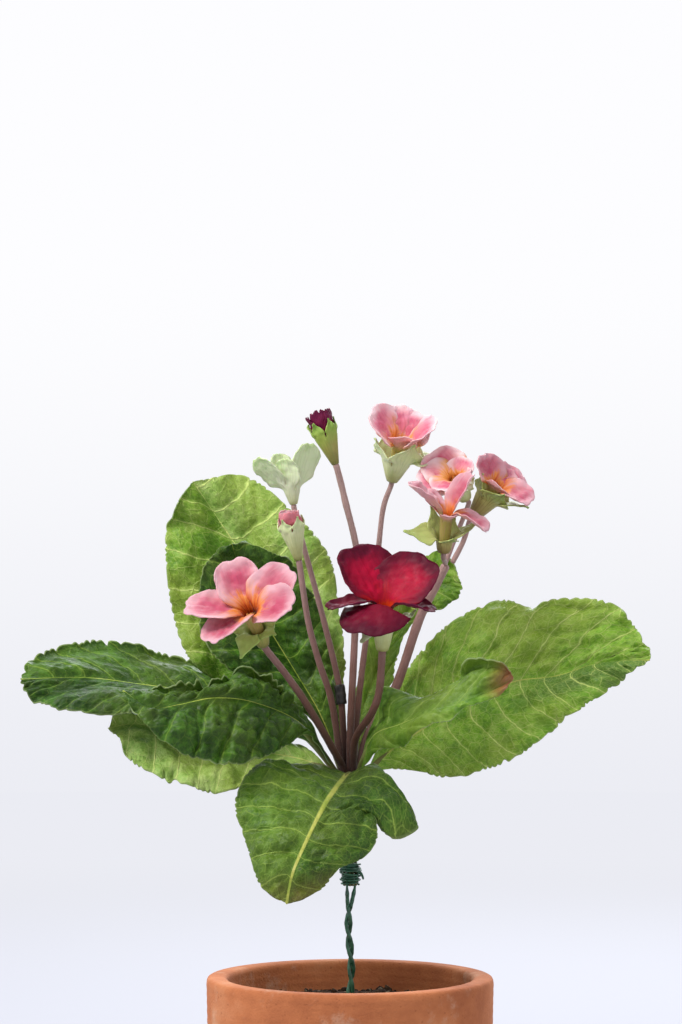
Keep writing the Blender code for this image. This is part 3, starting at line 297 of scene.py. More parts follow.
def linear(colour):
    """An sRGB hex colour as linear red, green and blue."""
    value = np.array([int(colour[i:i + 2], 16) for i in (1, 3, 5)]) / 255
    return tuple(np.where(value <= 0.04045, value / 12.92, ((value + 0.055) / 1.055) ** 2.4).tolist())


def unit(vectors):
    """Each vector divided by its length."""
    vectors = np.asarray(vectors, float)
    return vectors / np.maximum(np.linalg.norm(vectors, axis=-1, keepdims=True), 1e-12)


def smooth_step(value):
    """0 below 0, 1 above 1, and 3v^2 - 2v^3 between."""
    value = np.clip(value, 0, 1)
    return value * value * (3 - 2 * value)


def spline(points, places):
    """The cubic through the points, whose slope at each one is half the step between its neighbours, read
    at places that count the points from 0."""
    points = np.asarray(points, float)
    ends = np.concatenate([[2 * points[0] - points[1]], points, [2 * points[-1] - points[-2]]])
    places = np.clip(np.asarray(places, float), 0, len(points) - 1)
    span = np.minimum(places.astype(int), len(points) - 2)
    t = (places - span)[:, None]
    a, b, c, d = (ends[span + step] for step in range(4))
    squared, cubed = 2 * a - 5 * b + 4 * c - d, 3 * b - a - 3 * c + d
    return 0.5 * (2 * b + (c - a) * t + squared * t ** 2 + cubed * t ** 3)


def rows_of(*values):
    """Values that are spread over the same grid, side by side, with one row for each of its points."""
    return np.stack(np.broadcast_arrays(*values), axis=-1).reshape(-1, len(values))


def stretch_of(share, start, end, sharpness):
    """1 in the middle of the stretch from start to end and 0 outside it, by the smooth step."""
    middle, half = (start + end) / 2, (end - start) / 2
    return smooth_step((1 - abs(share - middle) / half) * sharpness)


def lengths_of(points):
    """How far along a row of points each one is."""
    steps = np.linalg.norm(np.diff(points, axis=0), axis=1)
    return np.concatenate([[0], np.cumsum(steps)])


def resample(points, spacing):
    """Points along the same corners, evenly spaced by length."""
    run = lengths_of(points)
    wanted = np.linspace(0, run[-1], max(2, int(run[-1] / spacing)))
    return np.stack([np.interp(wanted, run, points[:, axis]) for axis in range(points.shape[1])], axis=1)


def wobble(place, length, seed, waves=7):
    """A smooth seeded height of about -1 to 1: the sum of sine waves of about that length, in random
    directions and phases, divided by the square root of half their number."""
    draw = np.random.default_rng(seed)
    ways = unit(draw.normal(size=(waves, place.shape[-1])))
    ways *= (draw.uniform(0.7, 1.5, waves) * math.tau / length)[:, None]
    phases = draw.uniform(0, math.tau, waves)
    return np.sin(place @ ways.T + phases).sum(-1) / math.sqrt(2 * waves)


def even_angles(count):
    """Angles all round, in even steps from 0."""
    return np.arange(count) * math.tau / count


def curve_through(points, count):
    """The cubic through the points, read at evenly counted places."""
    return spline(points, np.linspace(0, len(points) - 1, count))


def grid_faces(index, closed=False):
    """The quads between the rows and columns of a grid of point numbers. They face the way that the
    step to the next column crossed with the step to the next row points. A closed grid's last column
    is joined to its first."""
    if closed:
        index = np.concatenate([index, index[:, :1]], axis=1)
    corners = (index[:-1, :-1], index[:-1, 1:], index[1:, 1:], index[1:, :-1])
    return np.stack([corner.ravel() for corner in corners], axis=1)


def fan(centre, ring):
    """The triangles from a centre point to each step of a closed ring of point numbers."""
    following = np.roll(ring, -1)
    return np.stack([np.full(len(ring), centre), ring, following], axis=1)


def capped(rings, low, high):
    """The points and faces of a closed skin: rows of rings, with a pole before the first and after the
    last."""
    index = np.arange(rings.shape[0] * rings.shape[1]).reshape(rings.shape[:2])
    faces = [grid_faces(index, closed=True), fan(index.size, index[0, ::-1]), fan(index.size + 1, index[-1])]
    return np.concatenate([rings.reshape(-1, 3), [low, high]]), faces


def circles(ways, sides, reference=(1, 0, 0)):
    """A circle of radius 1 square to each way. Its first direction is the reference crossed with it."""
    first = unit(np.cross(reference, ways))[:, None]
    second = np.cross(ways, first[:, 0])[:, None]
    angle = even_angles(sides)[None, :, None]
    return np.cos(angle) * first + np.sin(angle) * second


def point_normals(points, faces):
    """The unit mean of the cross products of the diagonals, or sides, of the faces round each point."""
    total = np.zeros_like(points)
    for block in faces:
        chosen = (2, 0, 3, 1) if block.shape[1] == 4 else (1, 0, 2, 0)
        to_a, from_a, to_b, from_b = (points[block[:, corner]] for corner in chosen)
        crossed = np.cross(to_a - from_a, to_b - from_b)
        for corner in range(block.shape[1]):
            for axis in range(3):
                total[:, axis] += np.bincount(block[:, corner], crossed[:, axis], len(points))
    return unit(total)


def thicken(shape, thickness):
    """A closed sheet: each point moved half the thickness to both sides along its normal, and a quad
    across each edge that only one face uses. The note named side is 1 above and -1 below."""
    points, faces, notes = shape
    count = len(points)
    shift = point_normals(points, faces) * thickness / 2
    starts = np.concatenate([block.ravel() for block in faces])
    ends = np.concatenate([np.roll(block, -1, axis=1).ravel() for block in faces])
    keys = np.minimum(starts, ends) * count + np.maximum(starts, ends)
    _, first, uses = np.unique(keys, return_index=True, return_counts=True)
    rim = first[uses == 1]
    a, b = starts[rim], ends[rim]
    walls = np.stack([b, a, a + count, b + count], axis=1)
    under = [block[:, ::-1] + count for block in faces]
    both = {name: np.concatenate([value, value]) for name, value in notes.items()}
    both["side"] = np.repeat([1, -1], count)
    return Shape(np.concatenate([points + shift, points - shift]), [*faces, *under, walls], both)


def join(shapes):
    """Several shapes as one. They carry the same notes."""
    starts = np.cumsum([0] + [len(shape.points) for shape in shapes[:-1]])
    faces = [block + start for shape, start in zip(shapes, starts) for block in shape.faces]
    notes = {name: np.concatenate([shape.notes[name] for shape in shapes]) for name in shapes[0].notes}
    return Shape(np.concatenate([shape.points for shape in shapes]), faces, notes)


def rod(path, radii, sides, reference=(1, 0, 0), roundness=0.6):
    """A circle of the given radius carried along the path, square to it, with domed ends. The note run
    is how far along the path a point is, in millimetres, with its angle and its share of the path."""
    path, radii = np.asarray(path, float), np.asarray(radii, float)
    ways = unit(np.gradient(path, axis=0))
    rounded = np.linspace(0, 1, 4) * math.pi / 2
    dome = np.sin(rounded[1:])
    back = roundness * radii[0] * np.cos(rounded[1:-1])[:, None]
    ahead = roundness * radii[-1] * np.cos(rounded[1:-1])[::-1, None]
    path = np.concatenate([path[0] - ways[0] * back, path, path[-1] + ways[-1] * ahead])
    ways = np.concatenate([np.repeat(ways[:1], 2, 0), ways, np.repeat(ways[-1:], 2, 0)])
    radii = np.concatenate([radii[0] * dome[:2], radii, radii[-1] * dome[1::-1]])
    rings = path[:, None] + radii[:, None, None] * circles(ways, sides, reference)
    points, faces = capped(rings, path[0] - ways[0] * roundness * radii[2] / 4,
                           path[-1] + ways[-1] * roundness * radii[-3] / 4)
    run = lengths_of(path)
    note = rows_of(run[:, None], even_angles(sides), run[:, None] / run[-1])
    return Shape(points, faces, {"run": np.concatenate([note, note[:1], note[-1:]])})


def round_corners(profile, radii, steps):
    """A profile with each inner corner cut back by its radius, or less on a short side, and bridged by
    the quadratic curve through the corner's two cuts that leans on the corner."""
    profile = np.asarray(profile, float)
    t = np.linspace(0, 1, steps)[:, None]
    pieces = [profile[:1]]
    for before, corner, after, radius in zip(profile, profile[1:], profile[2:], radii):
        start = corner + unit(before - corner) * min(radius, np.linalg.norm(before - corner) * 0.45)
        end = corner + unit(after - corner) * min(radius, np.linalg.norm(after - corner) * 0.45)
        pieces.append((1 - t) ** 2 * start + 2 * t * (1 - t) * corner + t ** 2 * end)
    return np.concatenate([*pieces, profile[-1:]])


def turned(profile, sides, relief=None):
    """A profile of (radius, height) points, from the axis to the axis, turned about Z. Relief gives how
    far each point moves outwards from its angle, radius and height."""
    angle = even_angles(sides)
    radius, height = profile[1:-1, :1], profile[1:-1, 1:]
    moved = radius + (relief(angle[None], radius, height) if relief else 0)
    rings = rows_of(moved * np.cos(angle), moved * np.sin(angle), height).reshape(-1, sides, 3)
    return Shape(*capped(rings, (0, 0, profile[0, 1]), (0, 0, profile[-1, 1])), {})


def add_object(name, data):
    """A new object of the scene that shows the data."""
    obj = bpy.data.objects.new(name, data)
    bpy.context.scene.collection.objects.link(obj)
    return obj


def make_piece(name, shape, material, node, lift=LIFT):
    """Puts a shape into a smooth shaded mesh in metres, with its notes as point attributes, and makes
    it ride with the body and stand for its CAD node."""
    mesh = bpy.data.meshes.new(name)
    placed = (shape.points + (0, 0, lift)) * MM
    sizes = np.concatenate([np.full(len(block), block.shape[1]) for block in shape.faces])
    corners = np.concatenate([block.ravel() for block in shape.faces])
    mesh.vertices.add(len(placed))
    mesh.vertices.foreach_set("co", placed.ravel())
    mesh.loops.add(len(corners))
    mesh.loops.foreach_set("vertex_index", corners.astype(np.int32))
    mesh.polygons.add(len(sizes))
    mesh.polygons.foreach_set("loop_start", (np.cumsum(sizes) - sizes).astype(np.int32))
    for note, value in shape.notes.items():
        flat = value.ndim == 1
        attribute = mesh.attributes.new(note, "FLOAT" if flat else "FLOAT_VECTOR", "POINT")
        attribute.data.foreach_set("value" if flat else "vector", value.astype(np.float32).ravel())
    mesh.update(calc_edges=True)
    if mesh.validate():
        raise RuntimeError(f"{name} has faces that Blender refuses")
    mesh.shade_smooth()
    mesh.materials.append(material)
    obj = add_object(name, mesh)
    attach(obj, BODY)
    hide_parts(node)


def cone_spread(z):
    """How much wider the bundle is at height z than inside the binding: 1 plus a power of the rise."""
    rise = np.clip((z - BINDING_TOP) / (CROWN_Z - BINDING_TOP), 0, None)
    return 1 + (CROWN_SPREAD - 1) * rise ** CROWN_SPREAD_POWER


def cone_point(ring, slot, z):
    """Where a wire of the bundle is at height z."""
    if not ring:
        return (0, 0, z)
    angle = math.tau * slot / RING_SLOTS[ring]
    radius = ring * BUNDLE_PITCH * cone_spread(z)
    return (radius * math.cos(angle), radius * math.sin(angle), z)


def bundle_route(ring, slot):
    """A wire's way up through the bundle, from under the binding to the crown."""
    bound = (BINDING_BOTTOM, (BINDING_BOTTOM + BINDING_TOP) / 2, BINDING_TOP)
    return [cone_point(ring, slot, z) for z in (*bound, *CONE_HEIGHTS, CROWN_Z)]


def rod_radius(z, full):
    """The wire's radius inside the bundle, which grows with the cone until it is the stem's own."""
    return np.minimum(full, BUNDLE_ROD_RADIUS + (cone_spread(z) - 1) * ROD_GROWTH)


# A leaf's shape: the share of its length by which it has opened, and sizes of its relief
LEAF_OPENS_BY = 0.3
VEIN_GROOVE = 1.5
CROSS_GROOVE = 1.1
LONG_BEND = 1.4
MIDRIB_HEIGHT = 0.45
MIDRIB_WIDTH = 0.75


def leaf_frame(leaf, q):
    """At each share q of the leaf: its midrib's place and way, the reach to its two edges and upwards.

    The three lines are cubics through the leaf's points. Up is the direction from edge to edge, made
    square to the midrib, crossed with the midrib's way."""
    start = bundle_route(2, leaf.slot)
    tip = leaf.mid[-1]
    centre, ahead, behind = (spline(start + leaf.mid, len(start) - 1 + share * len(leaf.mid))
                             for share in (q, np.minimum(q + 0.02, 1), np.maximum(q - 0.02, 0)))
    way = unit(ahead - behind)
    lines = [[start[-1], *line, tip] for line in (leaf.minus, leaf.plus)]
    edges, sides = ([spline(line, share * (len(line) - 1)) for line in lines]
                    for share in (q, np.maximum(q, 0.12)))
    across = sides[1] - sides[0]
    side = unit(across - way * (way * across).sum(-1, keepdims=True))
    up = np.cross(side, way)
    narrow = 0.7 * (1 - smooth_step((q - 0.9) / 0.1))[:, None] + 0.02
    reach = []
    for edge, sign in zip(edges, (-1, 1)):
        raw = edge - centre
        wide = smooth_step((np.linalg.norm(raw, axis=1, keepdims=True) - narrow) / 2)
        reach.append(raw * wide + sign * side * narrow * (1 - wide))
    return centre, way, up, reach


def leaf_relief(finish, settings, q, place, spread, phase, spacing, seed):
    """How far a leaf's cloth stands up from its arch, in millimetres, as the sum of these:

    puckers that fall to nothing at each side vein and each cross vein, as 1 - exp(-(distance / width)^2);
    long bends; waves that grow from the middle of each half to the margin; and a ridge on the midrib."""
    across, opened = place[..., 1], smooth_step(q / LEAF_OPENS_BY)[:, None]
    from_vein = abs(phase - np.round(phase)) * spacing
    cell = np.sin(np.floor(phase) * 12.9 + seed) * 0.5 + abs(across) / settings.cell * MM
    from_cross = abs(cell - np.round(cell)) * settings.cell / MM
    calm = opened * smooth_step((abs(across) - 0.8) / 3) * (1 - 0.6 * smooth_step((spread - 0.86) / 0.14))
    quilt = 1 - np.exp(-(from_vein / VEIN_GROOVE) ** 2)
    quilt *= 0.62 + 0.38 * (1 - np.exp(-(from_cross / CROSS_GROOVE) ** 2))
    bumps = 0.3 * wobble(place, 4.6, seed + 2) + 0.1 * wobble(place, 2, seed + 6)
    pucker = settings.pucker / MM * finish.pucker
    relief = pucker * calm * (quilt - 0.45 + bumps + 0.75 * wobble(place, 12, seed + 12))
    relief += LONG_BEND * opened * smooth_step(abs(across) / 6) * wobble(place, 32, seed + 3)
    edge = smooth_step((spread - 0.45) / 0.55) * opened * smooth_step((1 - q) / 0.12)[:, None]
    relief += finish.wave * edge * (1.5 * wobble(place, 19, seed + 4) + 0.45 * wobble(place, 7.5, seed + 5))
    return relief + MIDRIB_HEIGHT * np.exp(-(across / MIDRIB_WIDTH) ** 2) * (1 - q[:, None]) ** 0.5


def tooth_cut(finish, settings, edge_run, seed):
    """How far the margin is cut in: round teeth, 1 - |sin|^0.7, spaced along the margin's own length,
    which wander in width and depth, and a few deeper nicks."""
    along = edge_run[..., None]
    tooth_at = edge_run / (settings.tooth_spacing / MM) + 1.1 * wobble(along, 17, seed + 7)
    bite = 1 - abs(np.sin(math.pi * tooth_at)) ** 0.7
    deep = settings.tooth_depth / MM * finish.teeth * (0.75 + 0.6 * wobble(along, 9, seed + 8))
    nick = 2.2 * finish.teeth * smooth_step((wobble(along, 12, seed + 9) - 0.9) / 0.6)
    return np.clip(deep, 0.1, None) * bite + 0.25 * bite + nick


def leaf_blade(leaf, finish, settings, seed):
    """A leaf's blade on a grid of q along the midrib and t across, from -1 to 1.

    A point is the midrib's place, plus |t| of the reach to that side's edge, plus an arch of
    4|t|(1 - |t|), plus relief, both along the side's own normal. Side veins slant back towards the
    edge by |t|^1.4 times their slant, which fades to nothing at the tip. A dent lowers the cloth and
    cuts the margin along one side vein, by exp(-(distance / width)^2). The outer part is drawn in by
    the teeth, a swing lifts a stretch of one side, and a margin that rolls turns upwards along an arc."""
    mid_length = lengths_of(curve_through([(0, 0, 0), *leaf.mid], 60))[-1]
    rows = int(mid_length / settings.grid_step * MM)
    q = 0.012 + 0.984 * (1 - (1 - np.linspace(0, 1, rows)) ** 1.12)
    line = np.linspace(0, 1, settings.columns + 1) ** 1.15
    t = np.concatenate([-line[:0:-1], line])
    centre, way, up, (to_minus, to_plus) = leaf_frame(leaf, q)
    run = lengths_of(centre)
    left, out = (t < 0)[None, :, None], abs(t)[None, :, None]
    reach = np.where(left, to_minus[:, None], to_plus[:, None])
    lean = np.where(left, unit(np.cross(way, to_minus))[:, None], unit(np.cross(to_plus, way))[:, None])
    lean = unit(out * lean + (1 - out) * up[:, None])
    width = np.linalg.norm(reach, axis=2)
    spread, along = np.broadcast_to(abs(t), width.shape), np.repeat(run[:, None], len(t), 1)
    across = spread * width * np.sign(t)
    place = np.stack([along, across], axis=2)

    # Where each point is between the side veins: whole numbers are veins, staggered on the two sides
    shifted = 0.25 * np.tanh(6 * t)[None] + 0.1 * wobble(place, 21, seed + 1)
    share = along / run[-1]
    slant = finish.slant * (1 - smooth_step((share - 0.5) / 0.5))
    phase = finish.veins * (share - slant * spread ** 1.4) + shifted

    opened = smooth_step(q / LEAF_OPENS_BY)[:, None]
    relief = leaf_relief(finish, settings, q, place, spread, phase, run[-1] / finish.veins, seed)
    cut = np.zeros_like(phase)
    for dent in finish.dents:
        groove = np.exp(-((phase / finish.veins - dent.at) / dent.width) ** 2) * (t * dent.side > 0)[None]
        relief, cut = relief - dent.depth * groove * spread, cut + dent.cut * groove
    raised = relief + leaf.arch * opened * smooth_step((1 - q) / 0.2)[:, None] * 4 * spread * (1 - spread)

    edge_run = np.where(t[None] < 0, *(lengths_of(centre + side)[:, None] for side in (to_minus, to_plus)))
    inset = np.minimum(tooth_cut(finish, settings, edge_run, seed) + cut, 0.25 * width) * opened
    drawn = spread * (1 - inset / np.maximum(width, 1e-6) * smooth_step((spread - 0.72) / 0.28))
    points = centre[:, None] + drawn[..., None] * reach + raised[..., None] * lean
    for swing in finish.swings:
        strength = stretch_of(q, swing.start, swing.end, 1.5)[:, None] * (t * swing.side > 0)[None]
        points[..., 2] += swing.height * strength * 6.75 * spread ** 2 * (1 - spread)

    # A rolled margin: past its start, the strip goes round an arc instead of straight on
    for roll in finish.rolls:
        strength = stretch_of(q, roll.start, roll.end, 2.5)[:, None]
        turn = math.radians(roll.turn) * strength
        first = int(np.argmax(abs(t) <= roll.share)) if roll.side < 0 else int(np.argmax(t > roll.share)) - 1
        strip = (1 - abs(t[first])) * width / np.maximum(turn, 1e-3)
        turned_by = turn * np.clip((drawn - roll.share) / (1 - roll.share), 0, 1)
        over = (np.sin(turned_by) * strip)[..., None] * unit(reach[:, first])[:, None]
        over = over + ((1 - np.cos(turned_by)) * strip)[..., None] * lean[:, first][:, None]
        bumps = ((raised - raised[:, first][:, None]) * np.cos(turned_by))[..., None] * lean
        chosen = (t * roll.side > roll.share)[None, :, None] & (strength > 0.01)[..., None]
        points = np.where(chosen, points[:, first][:, None] + over + bumps, points)

    index = np.arange(points.shape[0] * points.shape[1]).reshape(points.shape[:2])
    notes = {"vein": rows_of(phase, across, along), "sheet": rows_of(q[:, None], spread * np.sign(t), 0)}
    return thicken(Shape(points.reshape(-1, 3), [grid_faces(index)], notes), settings.thickness / MM)


def leaf_stalk(leaf):
    """The wired stalk: a round rod from the bundle along the underside of the midrib, ever thinner."""
    start = bundle_route(2, leaf.slot)
    bound = curve_through(start, 30)[:-1]
    q = np.linspace(0, 0.9, 70)
    centre, _, up, _ = leaf_frame(leaf, q)
    full = 0.2 + 0.95 * (1 - smooth_step(q / 1.1)) ** 0.8
    sunk = smooth_step(q / 0.25) * (full * 0.75)
    path = np.concatenate([bound, centre - up * sunk[:, None]])
    radii = np.concatenate([rod_radius(bound[:, 2], 1.15), full])
    shape = rod(path, radii, 14)
    run, _, share = shape.notes["run"].T
    notes = {"vein": rows_of(0.5, 0, run), "sheet": rows_of(share, 0, 1), "side": np.ones(len(run))}
    return shape._replace(notes=notes)


def flower_ways(axis):
    """A flower's own directions: along its axis, towards the viewer, and to the right."""
    out = unit(axis)
    front = unit(np.array([0, -1, 0]) + out * out[1])
    return out, front, np.cross(out, front)


def lobe_width(share, outline):
    """The half width of a lobe along its length, as a share of its widest: it swells, then narrows."""
    swell = smooth_step(share / outline.widest_at)
    narrowing = smooth_step((share - outline.narrows_from) / (1 - outline.narrows_from))
    widening = outline.rim_width + (1 - outline.rim_width) * swell
    return widening * (1 - (1 - outline.end_width) * narrowing)


def rim_angles_of(lobes, cells):
    """The rim points' angles in degrees: each lobe has the rim from halfway to the one before it to
    halfway to the next, with even steps on both sides of its middle."""
    azimuths = np.array([lobe.azimuth for lobe in lobes], float)
    after = (azimuths + np.append(azimuths[1:], azimuths[0] + 360)) / 2
    before = np.append(after[-1] - 360, after[:-1])
    steps = np.arange(cells // 2) / (cells // 2)
    rising = before[:, None] + (azimuths - before)[:, None] * steps
    falling = azimuths[:, None] + (after - azimuths)[:, None] * steps
    return np.concatenate([rising, falling], axis=1).ravel()


def whorl(base, axis, cup, lobes, outline, thickness, ruffle, ragged, seed):
    """A cup on the axis, (foot radius, throat radius, height), whose rim carries lobes, as one sheet.

    The cup is a grid of angle by height. A lobe's middle line starts up the axis and turns to its
    opening angle by the smooth step of the first third of its length, with its curl times the length
    squared. Across, it leaves the round rim and becomes a strip of its own width, raised by
    cup t^2 + fold |t| + lean t, by a crease at its middle and by ruffles that grow with the length. Lean
    turns the lobe about its middle line, so its width is divided by the square root of 1 + lean^2.
    Its end is cut back by a notch, exp(-(t / width)^2), by a circle's arc over its width and by small
    rags.
    The note place is the share of the length, below 0 in the cup, t, and the lobe's own number."""
    out, front, right = flower_ways(axis)
    base = np.asarray(base, float)
    foot, throat, height = cup
    lobes = sorted(Lobe(*lobe) for lobe in lobes)
    cells, rows = outline.cells, outline.rows
    columns = len(lobes) * cells
    angles = rim_angles_of(lobes, cells)
    rim = np.radians(angles)
    ways = np.cos(rim)[:, None] * front + np.sin(rim)[:, None] * right

    rise = np.linspace(0, 1, CUP_ROWS)
    radius = np.interp(rise, (0, 0.3, 1), (foot * CUP_FOOT_SHARE, foot + (throat - foot) * 0.25, throat))
    ribs = 1 + 0.05 * np.cos(math.pi * np.arange(columns) / cells * 2)[None] * rise[:, None] ** 2
    wall = base + out * (rise * height)[:, None, None] + (radius[:, None] * ribs)[..., None] * ways[None]
    count = wall.shape[0] * columns
    index = np.arange(count).reshape(-1, columns)
    points = [wall.reshape(-1, 3), base[None]]
    around = 2 * (np.arange(columns) % cells) / cells - 1
    notes = [rows_of(rise[:, None] - 1, around, np.repeat(np.arange(len(lobes)), cells)), [[-1, 0, 0]]]
    faces = [grid_faces(np.concatenate([index, index[:, :1]], axis=1)[:, ::-1]), fan(count, index[0])]

    fine = np.linspace(0, 1, LOBE_FINE_STEPS + 1)
    flare = math.atan2(throat - foot, height)
    share = np.linspace(0, 1, rows + 1)[1:, None]
    t = np.linspace(-1, 1, cells + 1)[None]
    total = count + 1
    for number, lobe in enumerate(lobes):
        theta = flare + (math.radians(lobe.opening) - flare) * smooth_step(fine / LOBE_TURN)
        theta += math.radians(lobe.curl) * fine ** 2
        step = lobe.length / LOBE_FINE_STEPS
        reach = throat + np.concatenate([[0], np.cumsum(np.sin(theta[:-1]) * step)])
        climb = height + np.concatenate([[0], np.cumsum(np.cos(theta[:-1]) * step)])
        turn = math.radians(lobe.azimuth)
        radial = math.cos(turn) * front + math.sin(turn) * right
        sideways = -math.sin(turn) * front + math.cos(turn) * right
        cut = outline.notch * np.exp(-(t / outline.notch_width) ** 2)
        cut += outline.rounding * lobe.half_width / lobe.length * (1 - np.sqrt(1 - 0.985 * t ** 2))
        own_seed = seed + 31 * number
        torn = ragged / lobe.length * wobble(t[..., None] * lobe.half_width, 2.2, own_seed + 1)
        at = np.clip(share * (1 - cut - torn * share ** 4), 0, 1)
        offset = np.radians(angles[(number * cells + np.arange(cells + 1)) % columns] - lobe.azimuth)
        offset = (offset + math.pi) % (math.tau) - math.pi
        free = smooth_step(share / LOBE_FREE_AT)
        width = lobe.half_width * lobe_width(share, outline) / math.hypot(1, lobe.lean)
        across = width * t
        lateral = throat * np.sin(offset) * (1 - free) + across * free
        inward = throat * (1 - np.cos(offset)) * (1 - free)
        bowl = outline.cupping * lobe.cup * t ** 2 + lobe.fold * abs(t) + lobe.lean * t
        inward += width * bowl * free
        crumple = np.stack([across, at * lobe.length], axis=2)
        waves = at ** 1.4 * (0.35 + 0.65 * abs(t) ** 1.5) * wobble(crumple, 9, own_seed + 2)
        inward += ruffle * free * waves
        inward += 0.3 * ruffle * free * wobble(crumple, 3.4, own_seed + 3)
        inward += 0.35 * ruffle * free * np.exp(-(t / 0.12) ** 2) * at
        angle = np.interp(at, fine, theta)
        inner = -np.cos(angle)[..., None] * radial + np.sin(angle)[..., None] * out
        middle = base + out * np.interp(at, fine, climb)[..., None]
        middle += radial * np.interp(at, fine, reach)[..., None]
        strip = middle + lateral[..., None] * sideways + inward[..., None] * inner
        points.append(strip.reshape(-1, 3))
        notes.append(rows_of(at, t, number))
        own = total + np.arange(strip.shape[0] * (cells + 1)).reshape(-1, cells + 1)
        first = index[-1][(number * cells + np.arange(cells + 1)) % columns]
        faces.append(grid_faces(np.concatenate([first[None], own])[:, ::-1]))
        total += own.size
    shape = Shape(np.concatenate(points), faces, {"place": np.concatenate(notes)})
    return thicken(shape, thickness)


def stem_route(stem):
    """A stem's points, with the last bit turned the way its flower stands."""
    start = bundle_route(stem.ring, stem.slot) if stem.ring is not None else []
    heads = [head for head in FLOWERS + BUDS if head.stem == stem.name]
    ends = [tuple(np.array(stem.route[-1]) - unit(head.axis) * STEM_END) for head in heads]
    return start + stem.route[:-1] + ends + stem.route[-1:]


def stem_rod(stem, seed):
    """A flower stem: a circle along the cubic through its route, thin in the bundle, full at the crown
    and a little thinner under its flower, with a faint unevenness of its cloth tape."""
    route = stem_route(stem)
    path = resample(curve_through(route, 400), 0.6)
    share = smooth_step((path[:, 2] - CROWN_Z) / (path[-1, 2] - CROWN_Z))
    full = stem.radius + (stem.tip_radius - stem.radius) * share
    radii = rod_radius(path[:, 2], full) if stem.ring is not None else full
    radii *= (1 + 0.035 * wobble(path, 7, seed) + 0.02 * wobble(path, 2, seed + 1))
    return rod(path, radii, 20)


def head_base(head):
    """Where a flower or bud starts: a gap above the end of its stem."""
    stem = next(s for s in STEMS + PEDICELS if s.name == head.stem)
    return np.array(stem.route[-1]) + unit(head.axis) * HEAD_GAP


def ball(centre, axis, long_radius, radius, seed, sides=14, rows=9):
    """A closed rounded lump on an axis: radius sin(u), long radius cos(u), with seeded bumps."""
    out, front, right = flower_ways(axis)
    u = np.linspace(0, math.pi, rows + 2)[1:-1, None]
    angle = even_angles(sides)[None]
    shell = rows_of(np.sin(u) * np.cos(angle), np.sin(u) * np.sin(angle), -np.cos(u)).reshape(rows, sides, 3)
    swell = 1 + 0.1 * wobble(shell, 1.6, seed)
    ways = radius * (shell[..., :1] * front + shell[..., 1:2] * right) + long_radius * shell[..., 2:] * out
    rings = centre + swell[..., None] * ways
    points, faces = capped(rings, centre - out * long_radius, centre + out * long_radius)
    return Shape(points, faces, {"place": (points - centre) / long_radius})


def stamens_of(flower, seed):
    """A style up the middle of the tube with a round stigma, and five anthers that stand round it at
    the throat, each a long lump on a thin thread."""
    out, front, right = flower_ways(flower.axis)
    base = head_base(flower) + out * TUBE_WALL_GAP
    top = flower.tube - TUBE_WALL_GAP
    draw = np.random.default_rng(seed)
    style = [base + out * 0.6, base + out * top * 0.5, base + out * (top + 0.9)]
    threads = [rod(style, [0.32, 0.28, 0.26], 8)]
    lumps = [ball(base + out * (top + 1.2), out, 0.55, 0.62, seed)]
    for turn in even_angles(5) + draw.uniform(0, 1):
        side = math.cos(turn) * front + math.sin(turn) * right
        high = top + draw.uniform(-0.5, 0.9)
        spot = base + out * high + side * (flower.throat * 0.48)
        threads.append(rod([base + out * 0.6 + side * 0.7, base + out * high * 0.6 + side * 0.8, spot],
                           [0.18, 0.18, 0.2], 6))
        lumps.append(ball(spot, out + side * 0.5, 0.85, 0.46, seed + 1 + int(turn * 10)))
    threads = [Shape(s.points, s.faces, {"place": np.zeros_like(s.points)}) for s in threads]
    return join(threads + lumps)


def wire_axis(z):
    """How far to the right the middle of the twisted wires is: bent above the soil, straight in it."""
    share = np.clip((z + CROWN_ABOVE_SOIL) / (BINDING_BOTTOM + CROWN_ABOVE_SOIL), 0, 1)
    fade = np.sqrt(np.sin(math.pi * share).clip(0))
    return WIRE_BEND * np.sin(WIRE_BEND_HALF_WAVES * math.pi * share) * fade


def support_wire(slot, phase, radius):
    """One of the two support wires: from the bundle down into a helix round the bent middle line."""
    twist_top = BINDING_BOTTOM - WIRE_JOIN_LENGTH
    bottom = -CROWN_ABOVE_SOIL - WIRE_INTO_SOIL
    bound = [cone_point(2, slot, z) for z in (CONE_HEIGHTS[0], BINDING_TOP,
                                              (BINDING_TOP + BINDING_BOTTOM) / 2, BINDING_BOTTOM)]
    z = np.linspace(twist_top, bottom, 90)
    turn = phase + math.tau * WIRE_SLOTS[0] / RING_SLOTS[2]
    turn += math.tau * (twist_top - z) / WIRE_TWIST_PITCH
    away = radius + 0.02
    helix = rows_of(wire_axis(z) + away * np.cos(turn), away * np.sin(turn), z)
    route = np.concatenate([bound, helix])
    path = resample(curve_through(route, 900), 0.35)
    freed = smooth_step((BINDING_BOTTOM - path[:, 2]) / 3)
    thick = BUNDLE_ROD_RADIUS + (radius - BUNDLE_ROD_RADIUS) * freed
    tape = 1 + 0.05 * np.sin(lengths_of(path) * math.tau / 2.6) + 0.04 * wobble(path, 5, slot)
    return rod(path, thick * tape, 14)


